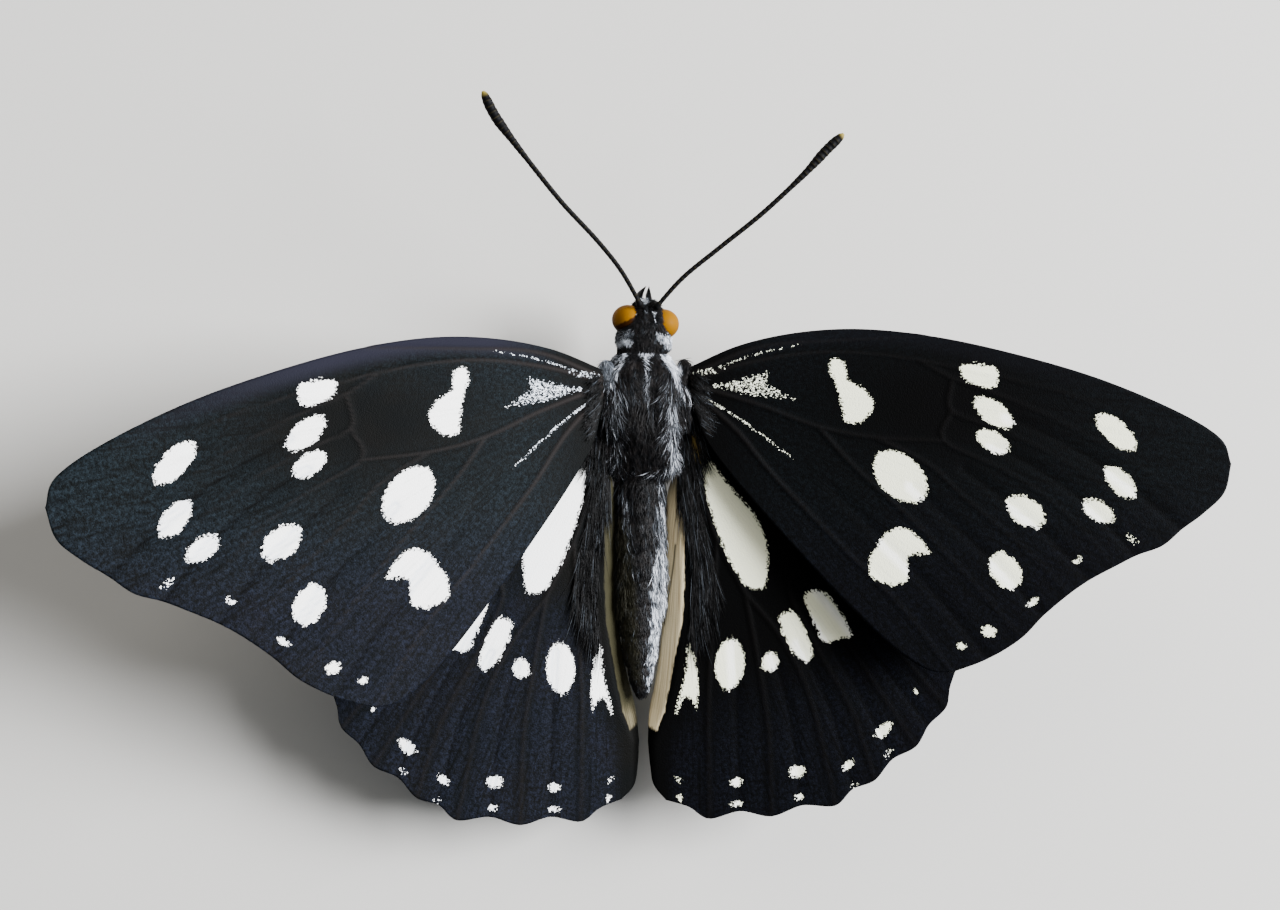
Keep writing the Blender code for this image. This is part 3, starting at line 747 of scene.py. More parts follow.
@dataclass
class Wing:
    """A wing drawn on its plan and bent onto its surface.

    The plan is a Coons patch: each point is the mix of the four edges' points less the mix of
    the four corners, so the grid's lines run from the root out to the margin as the veins do.
    """

    name: str
    root: tuple
    costa: tuple
    inner: dict
    ends: tuple
    dips: tuple
    veins: dict
    folded: tuple
    spots: tuple
    streaks: tuple
    poses: dict
    # per side, how strongly the painted sheen, glints, highlights and lit veins show; the left wings catch
    # the light more
    painted_light_gains: dict
    rows: int
    columns: int
    thickness: float = 0.14
    vein_height: float = 0.07
    vein_width: float = 0.13
    fold_depth: float = 0.05
    fold_width: float = 0.4
    fold_start: int = 10        # of a vein's points, where the creases between veins begin
    lee: float = 0.55           # how much of the cream gives way to a painted highlight beside a crease
    span: float = 42.0
    heart: tuple[float, float] = (9.0, 9.0)     # a place inside the wing, which margin dips point at
    ray_scale: float = 22.0     # mm on the map of how the scales lie to a radian about the root

    def margin(self) -> Array:
        """The outer edge's points from vein end to vein end, each dip half way between two."""
        ends = np.array(self.ends, float)
        run = np.diff(ends, axis=0)
        inward = unit(np.stack([-run[:, 1], run[:, 0]], axis=1))
        middle = (ends[1:] + ends[:-1]) / 2
        towards = np.sum(inward * (self.heart - middle), axis=1)
        middle += inward * np.sign(towards)[:, None] * np.array(self.dips)[:, None]
        line = np.empty((2 * len(ends) - 1, 2))
        line[0::2], line[1::2] = ends, middle
        return line

    def plan(self, side: Side) -> Array:
        """One side's grid of (u, v): rows from root to margin, columns from inner edge to costa."""
        t = np.linspace(0, 1, self.rows)[:, None, None]
        s = np.linspace(0, 1, self.columns)[None, :, None]
        root = smooth_path(self.root, self.columns)[None]
        outer = smooth_path(self.margin()[::-1], self.columns)[None]
        inner = smooth_path(self.inner[side], self.rows)[:, None]
        costa = smooth_path(self.costa, self.rows)[:, None]
        corners = ((1 - s) * (1 - t) * root[:, :1] + s * (1 - t) * root[:, -1:]
                   + (1 - s) * t * outer[:, :1] + s * t * outer[:, -1:])
        return (1 - t) * root + t * outer + (1 - s) * inner + s * costa - corners

    def vein_lines(self) -> dict[str, Array]:
        """Each vein as a smooth line of points."""
        return {key: smooth_path(points, 32) for key, points in self.veins.items()}

    def fold_lines(self) -> list[Array]:
        """The crease half way between two veins, over their outer part."""
        lines = self.vein_lines()
        return [((lines[a] + lines[b]) / 2)[self.fold_start:] for a, b in self.folded]

    def surface(self, plan: Array, side: Side) -> Array:
        """Bend plan points onto one side's smooth middle surface, in the wing's own axes."""
        raise NotImplementedError

    def marks(self, plan: Array, vein: Array, fold: Array, side: Side) -> dict[str, Array]:
        """What the finish reads, besides the white spots."""
        raise NotImplementedError

    def nearness(self, plan: Array) -> tuple[Array, Array]:
        """The distances to the nearest vein and to the nearest fold."""
        return tuple(np.min([path_distance(plan, line) for line in lines], axis=0)
                     for lines in (self.vein_lines().values(), self.fold_lines()))

    def middle(self, plan: Array, side: Side) -> Array:
        """The middle surface with its veins raised and the membrane sunk along the folds."""
        vein, fold = self.nearness(plan)
        reach = np.linalg.norm(plan, axis=1) / self.span
        points = self.surface(plan, side)
        points[:, 2] += self.vein_height * (1.3 - reach) * bell(vein, self.vein_width * (1.5 - reach))
        points[:, 2] -= self.fold_depth * bell(fold, self.fold_width) * smoothstep(0.1, 0.5, reach)
        return points

    def shape(self, side: Side) -> Shape:
        """One side's wing, drawn as a right one, before its pose."""
        plan = self.plan(side).reshape(-1, 2)
        values = self.marks(plan, *self.nearness(plan), side)
        values["white"] = np.clip(np.max([spot.depth(plan) for spot in self.spots], axis=0), -2, 2)
        values["lee"] = self.lee * np.max([path_lee(plan, line) for line in self.fold_lines()], axis=0)
        values["dust"] = np.max([streak.density(plan) for streak in self.streaks], axis=0)
        away = plan - np.mean(self.root, axis=0)
        ray = np.arctan2(away[:, 1], away[:, 0]) * self.ray_scale
        maps = {"lie": np.stack([ray, np.linalg.norm(away, axis=1)], axis=1), "plan": plan}
        size = (self.rows, self.columns)
        return shell_of(self.middle(plan, side).reshape(*size, 3), self.thickness,
                        {key: value.reshape(size) for key, value in values.items()},
                        {key: place.reshape(*size, 2) for key, place in maps.items()})

    def posed(self, points: Array, side: Side) -> Array:
        """Turn points from the wing's axes into the body's frame on one side."""
        sweep, rise, twist, lift = self.poses[side]
        turn = turn_about("Z", sweep) @ turn_about("Y", -rise) @ turn_about("X", twist)
        placed = points @ turn.T + [0, 0, lift]
        return placed * [side.value, 1, 1]

    def build(self, material: Material) -> None:
        """Make both wings and dress them."""
        for side in Side:
            shape = self.shape(side)
            # 1 on the right wing: its black is painted darker and its spots keep their cream, while the
            #                      left wing's spots are painted glare-white
            shape.values["creamy"] = np.full(len(shape.points), float(side is Side.right))
            values = {k: v * self.painted_light_gains[side].get(k, 1.0) for k, v in shape.values.items()}
            posed = Shape(self.posed(shape.points, side), shape.faces, values, shape.maps)
            if side is Side.left:
                posed.faces = posed.faces[:, ::-1]
            node = f"{self.name}_{side.name}"
            make_piece(f"{node}_scales", posed, material, (node,))


@dataclass
class Forewing(Wing):
    """The long front wing."""

    costa_bend: float = -2.0
    costa_droop: float = 0.03

    def surface(self, plan: Array, side: Side) -> Array:
        """Flat, with the front edge bent down by the square of its reach."""
        reach = np.maximum(0, self.costa_bend - plan[:, 1])
        return np.stack([plan[:, 0], -plan[:, 1], -self.costa_droop * reach ** 2], axis=1)

    def marks(self, plan: Array, vein: Array, fold: Array, side: Side) -> dict[str, Array]:
        """Vein, the costal band's painted sheen, and the painted sheen on the black, which is weakest round
        the middle of the wing.
        """
        u, v = plan.T
        reach = np.hypot(u, v)
        costa = path_distance(plan, smooth_path(self.costa, 60))
        middle = bell(u - 21, 12) * bell(v, 6)
        return {
            "vein": bell(vein, 0.08 + 0.08 * smoothstep(20, 5, reach)) * np.clip(1.1 - reach / 32, 0, 1),
            # the costal band: painted sheen along the front edge
            "costal": smoothstep(1.6, 0.4, costa) * smoothstep(6, 12, u) * smoothstep(38, 22, u),
            "bloom": np.clip(1.05 - 1.1 * middle, 0, 1) * smoothstep(4, 10, u),
            "violet": smoothstep(3, 13, v),
            # crease: painted shade along the folds
            "crease": 0.85 * bell(fold, 0.1) * smoothstep(20, 26, reach),
            "tan": np.full_like(u, -2.0),
            "shade": np.zeros_like(u),
            # silvered: pale scales at the root, painted as silver glints
            "silvered": smoothstep(12, 9, u),
            # gleam: a painted highlight beside each fold
            "gleam": 0.8 * bell(fold - 0.22, 0.12),
        }


@dataclass
class Hindwing(Wing):
    """The fan-shaped rear wing, whose inner part is folded down beside the abdomen."""

    crease: tuple = ()
    crease_radius: float = 0.7
    tan_from: tuple = ((10.0, 14.5, 17.5, 19.5, 22.5), (0.1, 0.15, 0.45, 0.4, 0.2))
    # a line of painted shade along a wrinkle of the fold
    wrinkle_shade: tuple = ((2.17, 9.2), (1.97, 10.65), (1.57, 12.48), (1.29, 13.8), (1.1, 15.0))
    # painted shade on the fold, heavy on the left side, which is turned from the light
    tan_shade: dict = field(default_factory=lambda: {
        Side.left: ((5.0, 9.0, 14.0, 18.5, 20.5, 21.5), (1.05, 0.98, 1.06, 1.2, 1.0, 0.84)),
        Side.right: ((5.0, 8.0, 22.0), (0.6, 0.1, 0.04))})
    # where the painted sheen starts, later on the right wing, which gets less of the light
    painted_sheen_from: dict = field(default_factory=lambda: {Side.left: (12, 18), Side.right: (18, 26)})
    crease_turns: dict = field(default_factory=lambda: {Side.left: 38.0, Side.right: 44.0})

    def crease_at(self, v: Array) -> Array:
        """How far out the crease runs at v."""
        line = np.array(self.crease)
        return np.interp(v, line[:, 1], line[:, 0])

    def surface(self, plan: Array, side: Side) -> Array:
        """Flat outside the crease; inside it the sheet follows a short arc and then a steep wall."""
        u, v = plan.T
        crease = self.crease_at(v)
        past = np.maximum(0, crease - u)
        turn = math.radians(self.crease_turns[side])
        arc = np.minimum(past, self.crease_radius * turn)
        angle = arc / self.crease_radius
        rest = past - arc
        x = crease - self.crease_radius * np.sin(angle) - rest * np.cos(angle)
        z = -self.crease_radius * (1 - np.cos(angle)) - rest * np.sin(angle)
        return np.stack([np.where(u < crease, x, u), -v, np.where(u < crease, z, 0)], axis=1)

    def marks(self, plan: Array, vein: Array, fold: Array, side: Side) -> dict[str, Array]:
        """Vein, painted sheen between the veins, and the tan inner fold with painted shade and a line of
        painted shade along a wrinkle.
        """
        u, v = plan.T
        reach, past = np.hypot(u, v), self.crease_at(v) - u
        front, rear = 0.3 * (v - 4.0), 0.5 * (22.6 - v - 0.25 * past)
        wrinkle_shade = bell(path_distance(plan, smooth_path(self.wrinkle_shade, 30)), 0.11)
        bloom = (0.45 + 0.55 * smoothstep(0.1, 0.9, vein)) * smoothstep(*self.painted_sheen_from[side], reach)
        return {
            "vein": bell(vein, 0.12) * 0.4 * (past < 0),
            "costal": np.zeros_like(u),
            "bloom": bloom * smoothstep(-0.3, -2.2, past),
            "violet": np.ones_like(u),
            # crease: painted shade along the folds
            "crease": 0.7 * bell(fold, 0.1) * smoothstep(18, 22, reach) * (past < 0),
            "tan": np.minimum(past - np.interp(v, *self.tan_from), np.minimum(front, rear)),
            "shade": np.interp(v, *self.tan_shade[side]) + 0.7 * wrinkle_shade,
            "silvered": np.zeros_like(u),
            # gleam: a painted highlight beside each fold
            "gleam": 0.8 * bell(fold - 0.2, 0.12),
        }


FOREWING = Forewing(
    name="forewing",
    root=((3.3, -0.9), (3.2, -2.2), (3.1, -3.4)),
    costa=((3.1, -3.4), (6.8, -4.9), (11.0, -5.7), (15.5, -5.8), (20.5, -5.1), (26.0, -3.7), (32.0, -1.7),
           (37.4, 0.8), (40.42, 2.85), (41.1, 4.7)),
    inner=dict.fromkeys(Side, ((3.3, -0.9), (4.8, 2.7), (9.9, 9.2), (15.6, 15.6), (18.9, 18.3),
                               (20.9, 18.7))),
    ends=((41.1, 4.7), (39.0, 8.1), (36.0, 10.3), (32.5, 11.7), (29.3, 13.5), (25.8, 16.5), (20.9, 18.7)),
    dips=(-0.55, 0.05, 0.1, 0.1, 0.1, -0.25),
    veins={
        "subcosta": ((3.3, -2.9), (8.0, -4.7), (13.5, -5.0), (20.5, -5.1)),
        "radius": ((3.3, -2.6), (7.8, -3.7), (13.0, -4.2), (19.5, -3.4), (29.0, -0.9), (35.5, 1.6),
                   (40.42, 2.85)),
        "media_1": ((19.5, -3.4), (21.8, -2.0), (24.4, -1.0), (29.0, 1.2), (33.4, 3.9), (39.0, 8.1)),
        "media_2": ((21.8, -2.0), (21.6, 0.3), (25.0, 1.7), (29.0, 3.9), (32.6, 6.6), (36.0, 10.3)),
        "media_3": ((21.6, 0.3), (21.0, 2.4), (25.3, 4.7), (29.2, 7.7), (32.5, 11.7)),
        "cubitus": ((3.3, -2.2), (8.0, -0.6), (12.2, 1.1), (16.2, 2.0), (21.0, 2.4)),
        "cubitus_1": ((16.2, 2.0), (19.8, 4.0), (22.2, 6.4), (26.2, 10.1), (29.3, 13.5)),
        "cubitus_2": ((12.2, 1.1), (14.5, 3.9), (18.6, 8.0), (22.3, 12.1), (25.8, 16.5)),
        "anal": ((3.3, -1.7), (6.3, 1.1), (9.0, 4.6), (13.3, 9.4), (17.5, 14.0), (20.9, 18.7)),
    },
    folded=(("media_1", "media_2"), ("media_2", "media_3"), ("media_3", "cubitus_1"),
            ("cubitus_1", "cubitus_2"), ("cubitus_2", "anal")),
    spots=(
        Oval(33.15, 2.2, 1.95, 0.88, 44), Oval(33.27, 5.72, 1.58, 0.82, 51),
        Oval(31.66, 7.71, 1.33, 0.76, 31), Oval(24.62, 0.52, 1.76, 0.86, 38),
        Oval(24.48, 2.58, 1.4, 0.76, 34), Oval(26.57, 7.58, 1.64, 1.04, 36),
        Oval(24.96, 11.7, 1.55, 1.1, 60), Oval(17.85, 4.82, 2.42, 1.6, 45),
        Patch(((22.3, -2.9), (23.2, -3.15), (24.6, -2.95), (25.2, -2.5), (25.0, -1.3), (24.2, -1.1),
               (22.8, -1.6), (22.3, -2.2))),
        Patch(((15.3, 10.6), (15.9, 9.5), (16.7, 8.6), (18.0, 8.3), (19.2, 9.2), (19.9, 10.4), (18.9, 10.5),
               (18.3, 10.6), (18.3, 11.5), (18.0, 12.4), (16.9, 12.6), (15.4, 11.9))),
        Patch(((13.1, -3.6), (13.8, -3.9), (14.4, -3.2), (14.6, -2.2), (15.6, -1.6), (16.3, -0.6),
               (16.1, 0.3), (15.2, 1.0), (14.0, 0.9), (13.75, -0.4), (13.4, -1.9), (13.0, -2.9))),
        Oval(23.6, 15.9, 0.54, 0.42, 27), Oval(21.64, 16.82, 0.34, 0.24, 35),
        Oval(26.8, 13.95, 0.5, 0.25, 145), Oval(30.0, 11.15, 0.34, 0.2, 145),
    ),
    streaks=(
        Dusting(((4.9, -2.05), (6.8, -2.45), (8.8, -2.95), (8.65, -2.0), (10.5, -1.0), (8.2, -1.2),
                 (6.4, -1.65)), 0.56),
        Streak(((4.5, -1.05), (6.4, 0.2), (8.6, 1.9), (10.3, 3.3)), 0.1, 0.75, 0.12),
        Streak(((3.6, -2.95), (4.6, -3.05), (5.6, -3.2)), 0.26, 0.4, 0.2),
        Streak(((4.4, -3.2), (5.6, -3.45), (7.0, -3.95), (9.0, -4.45), (11.5, -4.95)), 0.1, 0.55, 0.06),
        Streak(((33.7, 9.6), (34.1, 9.9)), 0.25, 0.5, 0.4),
    ),
    poses={Side.left: (-0.7, 13.6, -3.9, 0.6), Side.right: (0.7, 12.6, -3.7, 0.6)},
    # the right forewing, turned from the light, gets less painted sheen, glint and highlight, and its veins
    # and dust show less
    painted_light_gains={Side.left: {},
           Side.right: {"bloom": 0.25, "costal": 0.1, "vein": 0.2, "dust": 0.85, "silvered": 0.2,
                        "gleam": 0.2}},
    rows=220, columns=124,
)

HINDWING = Hindwing(
    name="hindwing",
    root=((2.9, 3.6), (2.9, 1.6), (2.9, -0.6)),
    costa=((2.9, -0.6), (4.2, -1.0), (6.0, -0.5), (10.0, 0.6), (14.0, 2.9), (18.0, 6.6), (21.0, 10.8),
           (22.6, 15.0), (22.5, 18.2)),
    inner={
        Side.left: ((2.9, 3.6), (2.1, 4.6), (1.65, 7.0), (1.6, 12.0), (1.3, 14.5), (0.8, 17.0),
                    (0.25, 19.2), (-0.25, 21.0), (-0.15, 23.0), (0.0, 25.0), (0.4, 26.5), (1.4, 27.5)),
        Side.right: ((2.9, 3.6), (1.9, 4.4), (1.2, 7.0), (1.0, 12.0), (0.8, 16.0), (0.35, 19.2),
                     (0.0, 21.0), (0.1, 23.0), (0.3, 25.0), (0.55, 26.4), (1.4, 27.5))},
    ends=((22.5, 18.2), (21.7, 21.1), (19.5, 23.9), (16.5, 26.3), (13.6, 28.1), (9.0, 28.8), (4.5, 28.9),
          (1.4, 27.5)),
    dips=(0.1, 0.2, 0.35, 0.3, 0.4, 0.45, 0.2),
    veins={
        "subcosta": ((3.0, 1.3), (8.0, 2.2), (14.5, 6.4), (20.0, 12.6), (22.5, 18.2)),
        "radial_sector": ((3.0, 1.6), (6.5, 4.4), (10.5, 8.6), (16.0, 14.5), (21.7, 21.1)),
        "media_1": ((10.5, 8.6), (11.2, 11.0), (15.0, 17.0), (19.5, 23.9)),
        "media_2": ((11.2, 11.0), (10.4, 12.6), (12.4, 16.8), (14.8, 21.2), (16.5, 26.3)),
        "media_3": ((7.2, 12.7), (9.8, 16.0), (11.9, 20.5), (13.6, 28.1)),
        "cubitus": ((3.1, 2.2), (4.3, 6.0), (5.2, 8.8), (7.2, 12.7)),
        "cubitus_1": ((7.2, 12.7), (8.0, 17.0), (8.8, 22.5), (9.0, 28.8)),
        "cubitus_2": ((5.2, 8.8), (4.9, 13.5), (4.5, 20.5), (4.5, 28.9)),
    },
    folded=(("radial_sector", "media_1"), ("media_1", "media_2"), ("media_2", "media_3"),
            ("media_3", "cubitus_1"), ("cubitus_1", "cubitus_2")),
    spots=(
        Patch(((3.8, 2.9), (4.8, 3.0), (6.4, 5.0), (8.2, 7.2), (9.0, 9.4), (8.9, 12.0), (8.2, 12.6),
               (7.1, 12.2), (5.9, 10.2), (4.9, 7.6), (4.2, 5.0))),
        Patch(((11.3, 13.0), (12.2, 12.4), (13.3, 12.8), (14.4, 14.3), (15.0, 15.9), (14.0, 16.2),
               (12.8, 16.4), (12.0, 14.9))),
        Patch(((9.5, 14.6), (10.4, 13.8), (11.2, 14.3), (12.0, 16.2), (12.2, 17.2), (11.6, 17.9),
               (10.4, 16.9))),
        Patch(((2.95, 16.3), (3.25, 16.1), (3.8, 17.7), (3.95, 19.2), (3.92, 20.4), (3.7, 21.2),
               (3.35, 20.7), (2.95, 20.2), (2.65, 20.7), (2.2, 21.6), (2.0, 21.0), (2.3, 20.1), (2.6, 19.0),
               (2.8, 17.9))),
        Oval(9.0, 17.64, 0.78, 0.64, 116), Oval(6.08, 17.78, 2.0, 1.16, 96),
        Oval(19.5, 19.95, 0.22, 0.14, 75), Oval(17.15, 22.7, 0.8, 0.42, 138),
        Oval(14.58, 25.2, 0.56, 0.32, 136), Oval(10.9, 25.57, 0.64, 0.48, 168),
        Oval(6.5, 26.3, 0.46, 0.34, 172), Oval(6.5, 27.86, 0.4, 0.2, 175),
        Oval(11.0, 27.44, 0.34, 0.22, 175), Oval(2.4, 27.36, 0.24, 0.18, 60),
    ),
    streaks=(
        Streak(((2.2, 26.0), (2.4, 26.1)), 0.2, 0.5, 0.4),
        Streak(((14.9, 26.6), (15.1, 26.5)), 0.2, 0.4, 0.4),
        Streak(((17.3, 24.5), (17.6, 24.3)), 0.2, 0.4, 0.4),
    ),
    poses={Side.left: (0.7, 8.9, 3.0, -0.4), Side.right: (-0.7, 9.5, 1.0, -0.4)},
    # the right hindwing, turned from the light, gets less painted sheen and highlight; veins show less on
    # both sides, least on the right
    painted_light_gains={Side.left: {"vein": 0.6}, Side.right: {"bloom": 0.4, "vein": 0.2, "gleam": 0.2}},
    rows=190, columns=150,
    crease=((3.0, 2.4), (3.0, 6.0), (3.0, 12.0), (2.85, 15.0), (2.6, 17.2), (2.2, 19.2), (1.7, 21.1),
            (1.1, 22.4), (0.75, 23.4)),
)


# ---- body ----------------------------------------------------------------------------------


@dataclass(frozen=True)
class Marking:
    """A pale field on the back, outlined on the leaning plan (x + lean z, y) in body millimetres."""

    outline: tuple[tuple[float, float], ...]
    tone: float = 1.0
    soft: float = 0.1
    ragged: float = 0.3

    def strength(self, plan: Array, rough: Array) -> Array:
        """The field's tone inside its outline, whose edge is shifted by rough times ragged and soft."""
        depth = depth_inside(plan, np.array(self.outline)) + self.ragged * rough
        return self.tone * smoothstep(-self.soft, self.soft, depth)


@dataclass(frozen=True)
class BodyMarks:
    """Where the body's hair and skin are pale, olive or brown, the same for both."""

    lean: float = 0.2
    belly: float = 0.55         # how pale the underside is
    lock: tuple[float, float, float] = (0.14, 0.4, 0.14)    # the grain of the fields' edges
    pale: tuple[Marking, ...] = (
        # shoulders; the left ones toned lower as painted shade on the side turned from the light
        Marking(((-3.2, 4.4), (-1.1, 4.35), (-1.4, 3.6), (-1.75, 3.05), (-2.2, 2.1), (-2.75, 1.1),
                 (-3.1, 1.1), (-3.1, 2.1), (-3.2, 3.0), (-3.3, 3.8)), 0.52),
        Marking(((-1.4, 4.4), (-1.1, 4.4), (-1.75, 3.0), (-2.3, 1.95), (-2.8, 1.2), (-2.9, 1.4),
                 (-2.4, 2.15), (-1.95, 3.0)), 0.8, 0.05, 0.12),
        Marking(((1.15, 4.4), (2.5, 4.45), (2.8, 3.7), (2.85, 3.3), (2.55, 3.0), (2.6, 2.5), (3.1, 1.3),
                 (3.2, 1.0), (2.9, 1.1), (2.4, 2.1), (1.95, 3.1), (1.5, 3.9)), 0.95, 0.06, 0.15),
        # the bar behind the head and the double line down the middle
        Marking(((-0.4, 4.4), (0.82, 4.4), (0.76, 4.22), (0.5, 4.14), (0.05, 4.14), (-0.34, 4.24)), 0.85,
                0.05, 0.08),
        Marking(((0.09, 4.3), (0.22, 4.3), (0.26, 2.6), (0.29, 0.6), (0.22, 0.6), (0.16, 2.6)), 0.95, 0.04,
                0.02),
        Marking(((0.35, 4.3), (0.44, 4.3), (0.42, 2.6), (0.37, 0.6), (0.32, 0.6), (0.35, 2.6)), 0.6, 0.04,
                0.02),
        Marking(((0.25, 0.6), (0.35, 0.6), (0.34, -0.4), (0.28, -0.4)), 0.35, 0.05, 0.06),
        Marking(((0.0, -2.7), (0.08, -2.7), (0.1, -3.1), (0.0, -3.1)), 0.6, 0.05, 0.06),
        # under the long hair at both sides, the left one toned lower as painted shade
        Marking(((1.8, 1.2), (1.95, 1.2), (2.0, 0.3), (2.2, -0.9), (2.2, -2.1), (2.1, -3.4), (1.9, -4.6),
                 (1.2, -4.7), (1.6, -3.8), (1.8, -2.1), (1.84, -0.9), (1.78, 0.3)), 0.55, 0.1, 0.5),
        Marking(((-2.1, 1.4), (-1.9, 1.4), (-1.85, -0.9), (-1.75, -2.3), (-1.6, -3.8), (-1.9, -3.8),
                 (-2.0, -2.3), (-2.1, -0.9)), 0.3, 0.1, 0.5),
        # the abdomen's right side, and a thin line on its left, toned lower as painted shade
        Marking(((1.05, -4.7), (0.92, -6.1), (0.84, -7.7), (0.72, -9.3), (0.5, -10.6), (2.3, -10.6),
                 (2.4, -4.7)), 0.6, 0.18, 0.8),
        Marking(((0.55, -10.2), (0.36, -11.2), (0.24, -12.5), (0.16, -14.1), (0.04, -15.8), (-0.08, -17.4),
                 (-0.15, -19.0), (-0.15, -19.9), (1.2, -19.9), (2.2, -15.0), (2.4, -10.2)), 0.66, 0.16,
                0.7),
        Marking(((-1.8, -5.3), (-1.5, -5.3), (-1.1, -8.3), (-0.85, -11.2), (-1.05, -11.2), (-1.45, -8.3)),
                0.3, 0.14, 0.7),
        # cheeks
        Marking(((-2.5, 5.8), (-1.9, 6.25), (-1.3, 6.2), (-0.6, 5.9), (-0.55, 5.66), (-1.2, 5.5),
                 (-2.3, 5.5)), 0.5, 0.12, 0.25),
        Marking(((-2.3, 5.5), (-1.5, 5.46), (-0.9, 5.5), (-0.55, 5.3), (-0.9, 5.02), (-1.6, 4.92),
                 (-2.3, 4.95)), 0.9, 0.1, 0.25),
        Marking(((0.9, 5.75), (1.13, 5.84), (1.5, 5.6), (1.8, 5.72), (2.1, 5.7), (2.3, 5.2), (2.06, 4.9),
                 (1.6, 4.9), (1.2, 5.3)), 0.9, 0.06, 0.3),
        # spots between the eyes, and the tuft over the palps
        Marking(((-0.56, 7.3), (-0.44, 7.3), (-0.42, 7.14), (-0.54, 7.12)), 0.9, 0.05, 0.05),
        Marking(((0.8, 7.3), (0.94, 7.3), (0.96, 7.05), (0.86, 7.05)), 1.0, 0.05, 0.05),
        Marking(((0.92, 6.7), (1.06, 6.7), (1.04, 6.52), (0.94, 6.52)), 0.5, 0.05, 0.05),
        Marking(((0.18, 7.5), (0.36, 7.5), (0.36, 7.25), (0.2, 7.24)), 0.3, 0.08, 0.1),
        Marking(((-0.1, 8.42), (0.48, 8.42), (0.58, 8.2), (0.42, 8.02), (0.2, 7.95), (-0.05, 8.1)), 0.9,
                0.05, 0.15),
    )
    olive: tuple[Marking, ...] = (
        Marking(((-2.3, -7.0), (-1.4, -7.3), (-0.9, -12.0), (-0.8, -16.0), (-0.7, -19.1), (-1.3, -18.6),
                 (-2.2, -15.9)), 0.4, 0.35),
        Marking(((3.1, -1.2), (3.7, -1.2), (3.7, -2.1), (3.1, -2.1)), 0.9, 0.15),
    )

    def tones(self, points: Array, normals: Array) -> dict[str, Array]:
        """How pale and how olive each body point is; the underside is pale all over."""
        plan = np.stack([points[:, 0] + self.lean * points[:, 2], points[:, 1]], axis=1)
        rough = soft_noise(points / self.lock, 5) - 0.5
        upper = smoothstep(-0.5, -0.1, normals[:, 2])
        pale, olive = (np.max([mark.strength(plan, rough) for mark in marks], axis=0) * upper
                       for marks in (self.pale, self.olive))
        return {"pale": np.maximum(pale, self.belly * (1 - upper)), "olive": olive}


